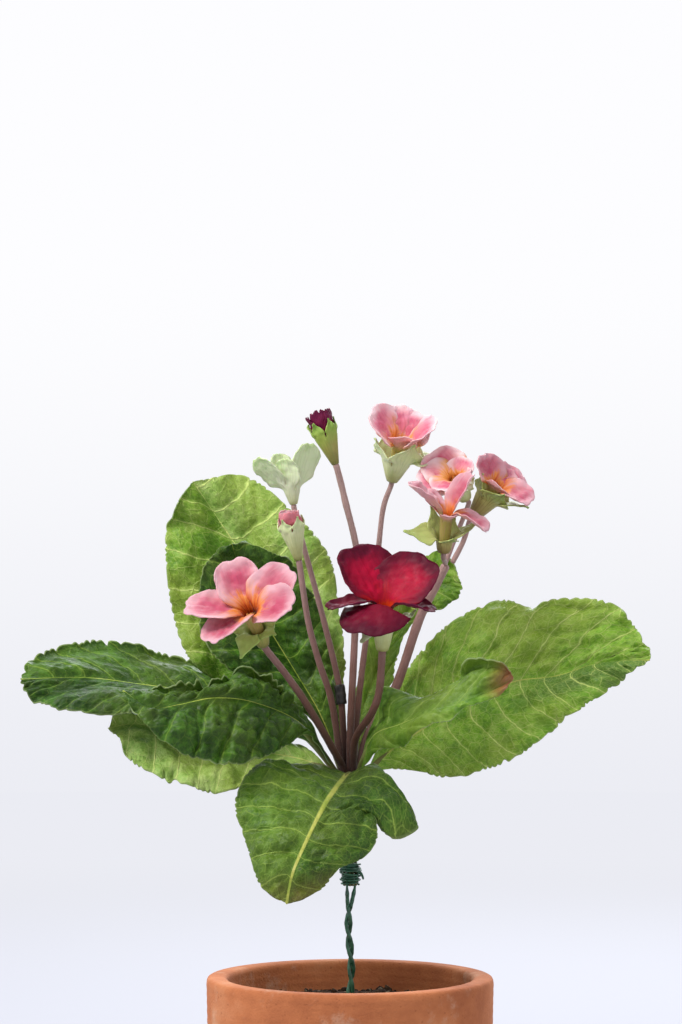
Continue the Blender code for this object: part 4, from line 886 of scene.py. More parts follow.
def binding(settings, seed):
    """The fine wire wound round the bundle: a helix whose radius and pitch wander, laid twice, and a
    short twist of its two ends that stands off to the right."""
    thick = settings.binding_radius / MM
    radius = 2 * BUNDLE_PITCH + BUNDLE_ROD_RADIUS + 0.3 + thick
    shapes = []
    for layer, (turns, low, high) in enumerate(((9, BINDING_BOTTOM + 0.4, BINDING_TOP - 0.4),
                                                (6, BINDING_BOTTOM + 2.2, BINDING_TOP - 1.2))):
        u = np.linspace(0, 1, int(turns * 36))
        angle = math.tau * turns * u * (1 if layer == 0 else -1) + layer
        place = rows_of(angle / 4, u)
        out = radius - 0.35 + layer * 1.9 * thick + 0.3 * wobble(place, 1.9, seed + layer)
        z = low + (high - low) * u + 0.75 * wobble(place, 2.7, seed + layer + 5)
        path = rows_of(out * np.cos(angle), out * np.sin(angle), z)
        shapes.append(rod(path, np.full(len(path), thick), 10, (0, 0, 1)))
    u = np.linspace(0, 1, 60)
    for phase in (0, math.pi):
        angle = phase + math.tau * 2.5 * u
        fat = 0.36 * (1 - 0.3 * u)
        path = rows_of(radius - 0.3 + 2.6 * u - 0.9 * u ** 2, -1.2 + fat * np.cos(angle),
                       -35.6 - 2.2 * u ** 2 + fat * np.sin(angle))
        shapes.append(rod(path, np.full(60, 0.32), 8, (0, 0, 1)))
    return join(shapes)


# The shader nodes that the materials use: Blender's kind of node, its settings, the sockets that its
# inputs go to in their order, and the output that is given back, where None is all of them
SMOOTH = {"interpolation_type": "SMOOTHSTEP"}
NODES = {
    "place": ("TexCoord", {}, (), 3),
    "way out": ("TexCoord", {}, (), 0),
    "note": ("Attribute", {}, (), 1),
    "number note": ("Attribute", {}, (), 2),
    "light path": ("LightPath", {}, (), 0),
    "parts": ("SeparateXYZ", {}, (0,), None),
    "colour parts": ("SeparateColor", {}, (0,), None),
    "vector": ("CombineXYZ", {}, (0, 1, 2), 0),
    "length": ("VectorMath", {"operation": "LENGTH"}, (0,), 1),
    "range": ("MapRange", {}, (0, 1, 2, 3, 4), 0),
    "smooth": ("MapRange", SMOOTH, (0, 1, 2, 3, 4), 0),
    "noise": ("TexNoise", {}, (0, "Scale", "Detail", "Roughness"), 0),
    "net": ("TexVoronoi", {"voronoi_dimensions": "2D", "feature": "DISTANCE_TO_EDGE"},
            ("Vector", "Scale", "Randomness"), 0),
    "specks": ("TexVoronoi", {"feature": "F1"}, ("Vector", "Scale"), 0),
    "speck colours": ("TexVoronoi", {"feature": "F1"}, ("Vector", "Scale"), 1),
    "ramp": ("ValToRGB", {}, (0,), 0),
    "mix": ("Mix", {"data_type": "RGBA"}, (0, 6, 7), 2),
    "bump": ("Bump", {}, ("Height", "Distance", "Strength"), 0),
    "principled": ("BsdfPrincipled", {}, (), 0),
    "glow": ("Emission", {}, ("Color",), 0),
    "background": ("Background", {}, ("Color", "Strength"), 0),
    "mix shaders": ("MixShader", {}, (0, 1, 2), 0),
    "material output": ("OutputMaterial", {}, ("Surface",), None),
    "world output": ("OutputWorld", {}, ("Surface",), None),
}
for word, operation in (("add", "ADD"), ("subtract", "SUBTRACT"), ("multiply", "MULTIPLY"),
                        ("multiply add", "MULTIPLY_ADD"), ("larger", "MAXIMUM"), ("unsigned", "ABSOLUTE"),
                        ("sine", "SINE"), ("to and fro", "PINGPONG")):
    NODES[word] = ("Math", {"operation": operation}, (0, 1, 2), 0)


def rgba(colour):
    """A colour, given as an sRGB hex value or as linear red, green and blue, with full alpha."""
    return (*(linear(colour) if isinstance(colour, str) else tuple(colour)[:3]), 1)


def add_node(tree, name, *inputs, ramp=(), named=None, **settings):
    """Adds a node of NODES with its settings and its inputs, which are values, colours or other nodes'
    outputs, and gives back its output. Named gives inputs by socket, and ramp a colour ramp's stops."""
    kind, own, sockets, out = NODES[name]
    node = tree.nodes.new("ShaderNode" + kind)
    for key, value in {**own, **settings}.items():
        setattr(node, key, value)
    stops = node.color_ramp.elements if ramp else ()
    while len(stops) < len(ramp):
        stops.new(0.5)
    for stop, (position, colour) in zip(stops, ramp):
        stop.position = position
        stop.color = rgba(colour)
    for key, value in {**dict(zip(sockets, inputs)), **(named or {})}.items():
        if isinstance(value, bpy.types.NodeSocket):
            tree.links.new(value, node.inputs[key])
        else:
            node.inputs[key].default_value = rgba(value) if node.inputs[key].type == "RGBA" else value
    return node.outputs if out is None else node.outputs[out]


def new_material(name):
    """A new material, and the function that adds nodes to its empty tree."""
    material = bpy.data.materials.new(name)
    material.use_nodes = True
    material.node_tree.nodes.clear()
    return material, partial(add_node, material.node_tree)


# The shader's inputs whose names are not their words with capitals
SHADER_INPUTS = {"ior": "IOR", "specular": "Specular IOR Level"}


def surface(add, **inputs):
    """The Principled shader with the given inputs, whose names have _ for a space, on the output."""
    named = {SHADER_INPUTS.get(name, name.replace("_", " ").title()): value for name, value in inputs.items()}
    add("material output", add("principled", named=named))


def mixed(first, second, share):
    """Two colours mixed by share."""
    return tuple(a + (b - a) * share for a, b in zip(first, second))


def pressed_leaf_cloth(name, settings, finish):
    """Printed polyester cloth, pressed in a heated mould.

    The pressing gives it raised pale veins and puckers between them, the starch a satin gloss that
    turns bluish at a slant, and the print two greens that run into each other. Its yarn, at 0.25 mm,
    is drawn at 0.5 mm so that it shows."""
    material, add = new_material(name)
    vein = add("parts", add("note", attribute_name="vein"))
    sheet = add("parts", add("note", attribute_name="sheet"))
    under = add("range", add("number note", attribute_name="side"), 0.05, -0.05)
    place = add("place")
    stalk = sheet[2]
    blotch = add("noise", place, 140, 5, 0.62)
    broad = add("noise", place, 42, 2)
    small = add("noise", place, 560, 3, 0.6)

    # Bends in the veins' lines, of 4 mm and up to a tenth of their spacing
    bend = add("noise", place, 250, 2)
    bent = add("multiply add", bend, 0.16, vein[0])
    # How far the phase is from a whole number, where a vein lies
    from_vein = add("to and fro", bent, 0.5)
    side_vein = add("smooth", from_vein, 0.034, 0.008)
    halo = add("smooth", from_vein, 0.13, 0.02)

    # The network between the side veins: cells of about 4 mm, and of 1.4 mm in them
    far = add("multiply", vein[1], 1 / 4.4)
    net_at = add("vector", add("multiply", bent, 2.3), far)
    coarse_net = add("smooth", add("net", net_at, 1, 0.9), 0.042, 0.008)
    fine_net = add("smooth", add("net", net_at, 3.2, 1), 0.14, 0.02)

    # The midrib, which tapers to the tip, and the whole stalk
    taper = add("range", sheet[0], 0, 1, 1 / finish.rib, 3.6 / finish.rib)
    off = add("multiply", add("unsigned", vein[1]), taper)
    rib = add("larger", add("smooth", off, 1.25, 0.55), stalk)

    # The two halves' greens, blotched at 7 mm and mottled at 1.8 mm, and the olive that drifts into them.
    # The 1.8 mm mottle is painted shade: it follows the small puckers that the same noise raises in the bump
    greens = []
    for dark in (finish.dark_minus, finish.dark_plus):
        # A half below 0 takes the paler, greyer greens, which are partly painted sheen
        others = ((settings.dark_shade, settings.dark, settings.dark_glow) if dark > 0 else
                  (settings.faded_and_sheen_shade, settings.faded_and_sheen, settings.faded_and_sheen_glow))
        own = (settings.light_shade, settings.light, settings.light_glow)
        greens.append([mixed(first, other, abs(dark)) for first, other in zip(own, others)])
    darkness = (finish.dark_minus + finish.dark_plus) / 2
    tone = add("add", blotch, add("range", from_vein, 0, 0.5, 0.03, -0.05))
    # Painted shade: the 1.8 mm pucker noise darkens and lightens the green as the puckers' shading would
    tone = add("multiply add", small, 0.32, tone)
    halves = [add("ramp", tone, ramp=list(zip((0.53, 0.665, 0.81), green))) for green in greens]
    green = add("mix", add("smooth", vein[1], -1.5, 1.5), *halves)
    drift = add("smooth", broad, 0.4, 0.64, 0, 0.55)
    green = add("mix", drift, green, mixed(settings.olive, settings.olive_dark, darkness))

    # Painted shade: a darker green band beside the midrib, in the outer half, where the fold there faces away
    # from the light
    beside = add("smooth", vein[1], 14, 6)
    plus = add("range", vein[1], -0.2, 0.6)
    outer = add("smooth", sheet[0], 0.48, 0.72, 0, finish.fold)
    green = add("mix", add("multiply", add("multiply", beside, plus), outer), green, settings.fold)

    # Veins over the green, worn where the blotches are dark
    pale = mixed(settings.vein, settings.vein_dark, darkness)
    worn = add("range", blotch, 0.32, 0.54, 0.4 * finish.vein_strength, finish.vein_strength)
    web = add("multiply", add("multiply", coarse_net, 0.42), worn)
    fine_web = add("multiply", add("multiply", fine_net, 0.22), worn)
    glow = add("multiply", halo, 0.1 * finish.vein_strength)
    main_vein = add("multiply", side_vein, worn)
    for mask in (glow, fine_web, web, main_vein):
        green = add("mix", mask, green, pale)
    reach = add("unsigned", sheet[1])
    green = add("mix", add("smooth", reach, 0.975, 1, 0, 0.5), green, settings.margin)
    tip = add("smooth", sheet[0], 0.76, 0.93, 0, finish.rust)
    brown = add("multiply", tip, add("smooth", reach, -0.4, 0.5))
    green = add("mix", brown, green, settings.rust)
    gold = mixed(pale, settings.midrib, finish.gold)
    deeper, brighter = (mixed(gold, other, 0.6) for other in (settings.light_shade, settings.rib_glow))
    rib_tone = add("ramp", blotch, ramp=[(0.34, deeper), (0.52, gold), (0.7, brighter)])
    green = add("mix", rib, green, rib_tone)
    back = add("mix", 0.55, green, settings.underside)
    green = add("mix", add("multiply add", stalk, 0.5, under, use_clamp=True), green, back)
    foot = add("range", sheet[0], 0.62, 0.38, 0, 0.75)
    green = add("mix", add("multiply", foot, stalk), green, settings.stalk_foot)

    # Relief: raised veins, puckers too small for the mesh, and the cloth
    yarn = add("noise", place, 2000, 2)
    height = add("multiply add", main_vein, 0.6, add("multiply", web, 0.8))
    for bumps, share in ((fine_web, 0.7), (small, 0.95), (yarn, 0.18)):
        height = add("multiply add", bumps, share, height)
    normal = add("bump", height, 0.55 * MM, 0.9)
    rough = add("range", small, 0.3, 0.7, 0.38, 0.56)
    surface(add, base_color=green, roughness=rough, normal=normal, ior=1.48, specular=0.3,
            sheen_weight=0.05, sheen_roughness=0.4, sheen_tint=settings.sheen)
    return material


def petal_cloth(name, look, settings):
    """Thin printed polyester satin, dipped and pressed.

    The dip pools colour in a blotch on the middle of each petal and leaves its margin paler, the eye
    is painted orange from the throat out, and the fine pleats of the pressing run along the petal."""
    material, add = new_material(name)
    share, across, lobe = add("parts", add("note", attribute_name="place"))
    side = add("range", add("number note", attribute_name="side"), 0.05, -0.05)
    place = add("place")
    reach = add("unsigned", across)

    # Uneven edges to every band of colour, at 5 mm and 1 mm
    drift = add("noise", place, 190, 4, 0.6)
    moved = add("multiply add", add("subtract", drift, 0.5), 0.55, share)
    # Streaks that run out from the throat: noise stretched along the petal
    stretched = [add("multiply", part, factor) for part, factor in ((share, 1.6), (across, 13), (lobe, 7.3))]
    lines_at = add("vector", *stretched)
    lines = add("noise", lines_at, 1, 3, 0.6)
    streak = add("smooth", lines, 0.46, 0.66)

    flamed = add("multiply add", add("subtract", lines, 0.5), -0.55, moved)
    ground = add("ramp", flamed, ramp=look.along)
    rose = add("smooth", reach, 0.85, 0.15)
    ring = add("smooth", moved, look.blotch_from, look.blotch_from + 0.14)
    end = add("smooth", moved, look.blotch_to, look.blotch_to - 0.25)
    blotch = add("multiply", add("multiply", ring, end), rose)
    uneven = add("range", drift, 0.36, 0.56, 0.35, look.blotch_strength)
    colour = add("mix", add("multiply", blotch, uneven), ground, look.blotch)
    drawn = add("multiply", streak, look.streak_strength)
    outside_eye = add("range", share, 0.05, 0.3)
    colour = add("mix", add("multiply", drawn, outside_eye), colour, look.streak)
    hem_across = add("smooth", reach, 0.55, 0.95)
    hem_along = add("smooth", share, 0.72, 0.98)
    free = add("smooth", share, 0.15, 0.4)
    hem = add("larger", add("multiply", hem_across, free), hem_along)
    colour = add("mix", add("multiply", hem, look.hem_strength), colour, look.hem)
    # Painted shade: the petals from a given number on are darkened towards the hem colour, as if in shadow
    deep = add("range", lobe, look.deep_from, look.deep_from + 0.2, 0, 0.7)
    colour = add("mix", deep, colour, look.hem)
    back = add("ramp", moved, ramp=look.back)
    back = add("mix", add("multiply", streak, 0.35), back, look.back_streak)
    colour = add("mix", side, colour, back)

    yarn = add("noise", place, 2200, 2)
    small = add("noise", place, 480, 3)
    height = add("multiply add", lines, 0.5, add("multiply", yarn, 0.1))
    normal = add("bump", add("multiply add", small, 0.3, height), 0.4 * MM, 0.8)
    rough = add("range", small, 0.3, 0.7, look.roughness - 0.07, look.roughness + 0.08)
    surface(add, base_color=colour, roughness=rough, normal=normal, ior=1.46, specular=0.18,
            sheen_weight=look.sheen, sheen_roughness=0.35, sheen_tint=look.sheen_tint,
            subsurface_weight=settings.glow, subsurface_radius=(1, 0.45, 0.3), subsurface_scale=1.2 * MM)
    return material


def sepal_cloth(name, look, settings):
    """Thin pressed polyester cloth, printed pale yellow-green and dipped darker at the folds. Its ribs
    catch the light, and its lobes glow a little where light comes through."""
    material, add = new_material(name)
    share, across, lobe = add("parts", add("note", attribute_name="place"))
    side = add("range", add("number note", attribute_name="side"), -0.05, 0.05)
    place = add("place")
    drift = add("noise", place, 260, 4, 0.6)
    moved = add("multiply add", add("subtract", drift, 0.5), 0.9, share)
    lines = add("noise", add("vector", share, add("multiply", across, 7), lobe), 1, 2)
    streak = add("smooth", lines, 0.46, 0.64)
    colour = add("ramp", add("range", moved, -1, 1), ramp=look.along)
    colour = add("mix", add("multiply", streak, look.streak_strength), colour, look.streak)
    colour = add("mix", add("multiply", side, 0.6), colour, look.inside)
    small = add("noise", place, 700, 3)
    height = add("multiply add", lines, 0.6, add("multiply", small, 0.35))
    normal = add("bump", height, 0.3 * MM, 0.7)
    rough = add("range", small, 0.3, 0.7, 0.45, 0.62)
    surface(add, base_color=colour, roughness=rough, normal=normal, ior=1.5,
            sheen_weight=0.12, sheen_roughness=0.4, subsurface_weight=settings.glow,
            subsurface_radius=(0.6, 1, 0.3), subsurface_scale=1 * MM)
    return material


def stem_tape(name, settings, low, high):
    """Florist's paper tape wound on a plastic stem, mauve above and growing dark brown towards the crown.

    The tape gives it a satin, slightly ringed surface with faint lengthwise wrinkles."""
    material, add = new_material(name)
    place = add("place")
    spot = add("parts", place)
    run = add("parts", add("note", attribute_name="run"))
    drift = add("noise", place, 170, 4)
    moved = add("multiply add", add("subtract", drift, 0.5), 0.018, spot[2])
    colour = add("ramp", add("range", moved, low, high), ramp=[
        (0, settings.foot), (0.22, settings.foot), (0.4, settings.lower), (0.58, settings.middle),
        (0.85, settings.top)])
    around = add("multiply", add("sine", run[1]), 2.2)
    lines = add("noise", add("vector", add("multiply", run[0], 0.22), around), 3, 3)
    colour = add("mix", add("smooth", lines, 0.5, 0.7, 0, 0.45), colour, settings.lower)
    rings = add("sine", add("multiply", run[0], 2.4))
    normal = add("bump", add("multiply add", rings, 0.06, lines), 0.35 * MM, 0.7)
    rough = add("range", lines, 0.3, 0.7, 0.42, 0.62)
    surface(add, base_color=colour, roughness=rough, normal=normal, ior=1.48, sheen_weight=0.15,
            sheen_roughness=0.4)
    return material


def coated_wire(name, dark, light, roughness):
    """Steel wire in a PVC coat, or a PVC tube: smooth, with a soft shine, and a little dust and rubbing
    that lightens it in patches of 2 mm."""
    material, add = new_material(name)
    place = add("place")
    patch = add("noise", place, 480, 4)
    colour = add("ramp", patch, ramp=[(0.38, dark), (0.72, light)])
    normal = add("bump", add("noise", place, 1500, 2), 0.1 * MM, 0.6)
    rough = add("range", patch, 0.3, 0.7, roughness - 0.08, roughness + 0.12)
    surface(add, base_color=colour, roughness=rough, normal=normal, ior=1.52)
    return material


def fired_clay(settings):
    """Unglazed terracotta, thrown and fired: dry and matt, orange-brown, with fine throwing lines,
    grog specks of 0.5 mm drawn at 0.8 mm, and a pale bloom of lime that water leaves."""
    material, add = new_material("unglazed_terracotta")
    place = add("place")
    spot = add("parts", place)
    cloud = add("noise", place, 34, 6, 0.62)
    colour = add("ramp", cloud, ramp=[
        (0.3, settings.clay_dark), (0.52, settings.clay), (0.74, settings.clay_light)])
    grog = add("smooth", add("specks", place, 420), 0.2, 0.1, 0, 0.5)
    colour = add("mix", grog, colour, settings.clay_dark)
    lime = add("noise", place, 62, 8, 0.7)
    colour = add("mix", add("smooth", lime, 0.52, 0.72, 0, 0.55), colour, settings.lime)
    ridge = add("sine", add("multiply", spot[2], 2600))
    sand = add("noise", place, 1300, 3)
    height = add("multiply add", grog, -0.5, add("multiply add", ridge, 0.06, sand))
    normal = add("bump", height, 0.3 * MM, 0.8)
    rough = add("range", lime, 0.3, 0.7, 0.8, 0.95)
    surface(add, base_color=colour, roughness=rough, normal=normal, ior=1.5, specular=0.35)
    return material


def potting_soil(settings):
    """Peat and bark potting soil: near-black, crumbly and quite matt, with paler fibres and grit of
    about 1 mm."""
    material, add = new_material("peat_potting_soil")
    place = add("place")
    lump = add("noise", place, 330, 6, 0.65)
    colour = add("ramp", lump, ramp=[
        (0.34, settings.soil_dark), (0.55, settings.soil), (0.76, settings.soil_light)])
    chance = add("colour parts", add("speck colours", place, 760))
    colour = add("mix", add("range", chance[0], 0.93, 0.96, 0, 0.5), colour, settings.grit)
    normal = add("bump", add("noise", place, 1500, 4), 0.5 * MM, 1)
    surface(add, base_color=colour, roughness=0.95, normal=normal, ior=1.4, specular=0.25)
    return material


def flocked_eye(name, dark, light):
    """Flocked pollen on starched cloth: a dry, grainy orange-brown nap with grains of 0.4 mm."""
    material, add = new_material(name)
    place = add("place")
    grain = add("noise", place, 1900, 3)
    patch = add("noise", place, 420, 2)
    tone = add("multiply add", grain, 0.5, add("multiply", patch, 0.5))
    colour = add("ramp", tone, ramp=[(0.36, dark), (0.62, light)])
    normal = add("bump", grain, 0.25 * MM, 1)
    surface(add, base_color=colour, roughness=0.75, normal=normal, ior=1.45,
            sheen_weight=0.2, sheen_roughness=0.5)
    return material


# How a corolla is coloured: bands along its petals from the throat, a blotch, streaks, a hem, and painted
# shade on its later petals
PetalLook = namedtuple("PetalLook", "along blotch blotch_from blotch_to blotch_strength streak "
                       "streak_strength hem hem_strength back back_streak roughness sheen sheen_tint "
                       "deep_from", defaults=(9,))
PINK = PetalLook(
    ((0, "#8c360c"), (0.08, "#d8701c"), (0.24, "#eaa04e"), (0.38, "#e9a8a2"), (0.7, "#e6a3b2"),
     (1, "#efc2ca")),
    "#cc4c70", 0.26, 0.98, 0.75, "#c2486a", 0.2, "#f6dadd", 0.85,
    ((0, "#a3984a"), (0.25, "#dfa898"), (0.6, "#dea0a9"), (1, "#e8bdc0")), "#cc7a90", 0.5, 0.18, "#ffe9f0")
ROSE = PINK._replace(
    along=((0, "#7a2c0c"), (0.1, "#cc5c18"), (0.28, "#e08c44"), (0.4, "#cf8a90"), (0.7, "#c88290"),
           (1, "#d49ba6")),
    blotch="#b4365a", blotch_strength=0.8, hem="#dcb0b9", hem_strength=0.8)
ROSE_BUD = ROSE._replace(back=((0, "#c46a56"), (0.5, "#cc6a74"), (1, "#d88a92")))
# The burgundy petals from the third on are darkened with painted shade
DARK = PetalLook(
    ((0, "#c8380c"), (0.1, "#b0101a"), (0.3, "#900428"), (0.55, "#7a0428"), (0.85, "#600526"),
     (1, "#500420")),
    "#b80634", 0.08, 0.86, 0.8, "#5a0620", 0.06, "#4c0420", 0.75,
    ((0, "#6c1626"), (0.3, "#70143a"), (0.7, "#6c1840"), (1, "#500c30")), "#5a0f30", 0.55, 0, "#ff9ab8", 1.5)
PETAL_LOOKS = {"front": ROSE, "dark": DARK, "top": PINK, "middle": PINK, "outer": ROSE, "star": ROSE,
               "dark_bud": DARK, "pink_bud": ROSE_BUD}

# How a calyx is coloured: bands from its foot to its lobes' tips, streaks and its inside
SepalLook = namedtuple("SepalLook", "along streak streak_strength inside")
PALE_SEPALS = SepalLook(
    ((0, "#a09a56"), (0.25, "#c4c78c"), (0.5, "#d6d9a8"), (0.8, "#cddaa2"), (1, "#b0c87a")),
    "#a8b474", 0.35, "#dbe0b4")
EMPTY_SEPALS = SepalLook(
    ((0, "#bcbf88"), (0.3, "#d0d6aa"), (0.6, "#d8deba"), (0.9, "#d0dcb0"), (1, "#bcd092")),
    "#a9b980", 0.35, "#dae2c2")
OLIVE_SEPALS = SepalLook(
    ((0, "#7c6434"), (0.3, "#9c8a4c"), (0.5, "#aea45e"), (0.75, "#9aa655"), (1, "#80a048")),
    "#6c5a2c", 0.55, "#b4bf74")
GREEN_SEPALS = SepalLook(
    ((0, "#7c7238"), (0.3, "#a19a50"), (0.55, "#9bb04c"), (1, "#7fa640")),
    "#6d8a34", 0.35, "#b2c86c")
SEPAL_LOOKS = {
    "front": GREEN_SEPALS, "dark": PALE_SEPALS, "top": PALE_SEPALS, "middle": PALE_SEPALS,
    "outer": OLIVE_SEPALS, "star": OLIVE_SEPALS, "dark_bud": GREEN_SEPALS, "pink_bud": PALE_SEPALS,
    "empty_calyx": EMPTY_SEPALS,
}


def size(label, about, default, low=0, high=1):
    """A length that the panel shows, kept in metres."""
    return FloatProperty(name=label, description=about, default=default, min=low, max=high,
                         unit="LENGTH", precision=5)


def number(label, about, default, low=0, kind=FloatProperty):
    """A number without a unit that the panel shows."""
    return kind(name=label, description=about, default=default, min=low)


def tint(label, about, colour):
    """A colour that the panel shows, given as an sRGB hex value."""
    return FloatVectorProperty(name=label, description=about, default=linear(colour), min=0, max=1,
                               size=3, subtype="COLOR")


class PrimrosePotSettings(bpy.types.PropertyGroup):
    height: size("Height", "The pot's height", float(POT_HIGH[2]) * MM)
    rim_radius: size("Rim radius", "Half the pot's width over its rim", float(POT_HIGH[0]) * MM)
    foot_radius: size("Foot radius", "Half the pot's width at its foot", 33 * MM)
    rim_band: size("Rim band", "The height of the thick band round the rim", 18 * MM)
    rim_proud: size("Rim proud", "How far the band stands out from the pot", 3 * MM)
    wall: size("Wall", "The thickness of the pot's wall", 4 * MM)
    edge: size("Edge", "How far the pot's corners are rounded", 1.6 * MM)
    clay: tint("Clay", "The fired clay", "#bd7247")
    clay_dark: tint("Dark clay", "The clay's darker clouds and specks", "#9c5734")
    clay_light: tint("Light clay", "The clay's paler clouds", "#cf8c62")
    lime: tint("Lime bloom", "The pale bloom on the clay", "#d3b39a")
    soil_relief: size("Soil relief", "How rough the soil is", 1.1 * MM)
    crumbs: number("Crumbs", "How many loose crumbs lie on the soil", 420, 0, IntProperty)
    soil: tint("Soil", "The potting soil", "#3a2a1e")
    soil_dark: tint("Dark soil", "The soil's hollows", "#1c130d")
    soil_light: tint("Light soil", "The soil's paler crumbs", "#5a4431")
    grit: tint("Grit", "The pale grains in the soil", "#b9a88c")


class PrimroseLeafSettings(bpy.types.PropertyGroup):
    thickness: size("Thickness", "The thickness of the leaves' cloth", 0.45 * MM)
    tooth_spacing: size("Tooth spacing", "The length of one tooth along the margin", 3.8 * MM, 0.001)
    tooth_depth: size("Tooth depth", "How deep the margin is cut between teeth", 1.1 * MM)
    pucker: size("Pucker", "How high the leaf stands up between its veins", 1.2 * MM)
    cell: size("Cross vein spacing", "The width of a pucker along a side vein", 4.6 * MM, 0.001)
    grid_step: size("Grid step", "The mesh's step along the leaf", 0.5 * MM, 0.0002)
    columns: number("Columns", "The mesh's steps from midrib to edge", 40, 8, IntProperty)
    light: tint("Light green", "The light leaves", "#80b02c")
    light_shade: tint("Light green's shade", "The light leaves' darker blotches", "#60921e")
    light_glow: tint("Light green's glow", "The light leaves' paler blotches", "#9abb50")
    dark: tint("Dark green", "The dark leaves", "#244a04")
    dark_shade: tint("Dark green's shade", "The dark leaves' darker blotches", "#193903")
    dark_glow: tint("Dark green's glow", "The dark leaves' paler blotches", "#37660a")
    # Painted sheen in part: these paler, greyer greens also stand for a leaf half that catches the light
    faded_and_sheen: tint("Faded green", "The faded halves of light leaves", "#c2cd98")
    faded_and_sheen_shade: tint("Faded green's shade", "The faded halves' darker blotches", "#a3b573")
    faded_and_sheen_glow: tint("Faded green's glow", "The faded halves' paler blotches", "#d3dcb4")
    vein: tint("Veins", "The veins of the light leaves", "#d8e688")
    vein_dark: tint("Veins on dark", "The veins of the dark leaves", "#a0bf48")
    midrib: tint("Midrib", "The midribs and leaf stalks", "#b9b852")
    rib_glow: tint("Midrib's glow", "The midribs' paler stretches", "#d6d07c")
    olive: tint("Olive", "The olive that drifts into the light leaves", "#8fa238")
    olive_dark: tint("Dark olive", "The olive that drifts into the dark leaves", "#3c520c")
    # Painted shade: the green painted into the fold beside the midrib, where that fold is shaded
    fold: tint("Fold", "The deeper green in the fold beside the midrib", "#47692a")
    margin: tint("Margin", "The leaves' edges", "#a3b573")
    rust: tint("Rust", "The brown of a curled tip", "#93603a")
    underside: tint("Underside", "The leaves' undersides", "#748c6a")
    stalk_foot: tint("Stalk's foot", "The leaf stalks in the bundle", "#3b2c18")
    sheen: tint("Sheen", "The cloth's shine at a slant", "#cfe0ff")


class PrimroseStemSettings(bpy.types.PropertyGroup):
    top: tint("Top", "The flower stems under the flowers", "#b2918c")
    middle: tint("Middle", "The flower stems halfway", "#97706a")
    lower: tint("Lower part", "The flower stems above the crown", "#6b4438")
    foot: tint("Foot", "The flower stems at the crown", "#3a2014")
    sleeve_from: size("Sleeve's foot", "The height above the crown where the black sleeve starts", 20 * MM)
    sleeve_to: size("Sleeve's top", "The height above the crown where the black sleeve ends", 26.6 * MM)
    sleeve_wall: size("Sleeve's wall", "The thickness of the sleeve", 0.7 * MM)
    sleeve: tint("Sleeve", "The black sleeve", "#14100f")
    sleeve_worn: tint("Rubbed sleeve", "Where the sleeve is rubbed", "#35302c")


class PrimroseWireSettings(bpy.types.PropertyGroup):
    wire_radius: size("Wire radius", "Half the thickness of a support wire", 0.68 * MM)
    binding_radius: size("Binding radius", "Half the thickness of the binding wire", 0.35 * MM)
    green: tint("Coat", "The wires' green coat", "#1d4a35")
    green_worn: tint("Rubbed coat", "Where the coat is rubbed and dusty", "#3d7357")


class PrimroseFlowerSettings(bpy.types.PropertyGroup):
    petal_thickness: size("Petal thickness", "The thickness of the petals' cloth", 0.3 * MM)
    sepal_thickness: size("Sepal thickness", "The thickness of the calyxes' cloth", 0.32 * MM)
    ruffle: size("Ruffle", "How far the petals' edges wave", 0.9 * MM)
    ragged: size("Rags", "How ragged the petals' edges are", 0.05 * MM)
    glow: number("Glow", "How much light goes through the cloth", 0.12)


class PrimroseStageSettings(bpy.types.PropertyGroup):
    distance: size("Camera distance", "From the camera to the plant's crown", 1200 * MM, 0.1, 10)
    camera_right: size("Camera's side step", "How far to the right of the crown it stands", -3 * MM, -1)
    camera_above: size("Camera above crown", "How far above the crown it stands", 84.33 * MM, -1)
    lens: number("Lens", "The lens's focal length in millimetres", 126.6, 10)
    floor_radius: size("Floor radius", "The radius of the studio floor", 1.9, 0.5, 50)
    fade_from: size("Fade from", "How far from the pot the floor starts to fade", 0.35, 0, 50)
    fade_to: size("Fade to", "How far from the pot the floor has faded", 1.3, 0, 50)
    pale_from: number("Pale from", "The slope at which the backdrop starts to grow paler", -0.1, -1)
    pale_to: number("Pale to", "The slope from which the backdrop is at its palest", 0.07, -1)
    floor: tint("Floor", "The studio floor", "#b4b5bd")
    horizon: tint("Horizon", "The backdrop where the floor fades into it", "#ebecf3")
    backdrop: tint("Backdrop", "The backdrop higher up", "#fdfdff")
    daylight: number("Room light", "The light from all round", 0.6)
    key: number("Key light", "The power of the light from the upper left, in watts", 16)
    fill: number("Fill light", "The power of the light from the right, in watts", 2.5)
    rim: number("Rim light", "The power of the light from behind, in watts", 16)


def area_light(name, place, target, width, power, colour):
    """A square soft box that faces a point."""
    light = bpy.data.lights.new(name, "AREA")
    light.size, light.energy, light.color = width, power, colour
    obj = add_object(name, light)
    obj.location = place
    obj.rotation_euler = (Vector(place) - Vector(target)).to_track_quat("Z", "Y").to_euler()


# The floor is a disc a little under the pot's foot
FLOOR_SIDES = 96
FLOOR_BELOW = 0.0003


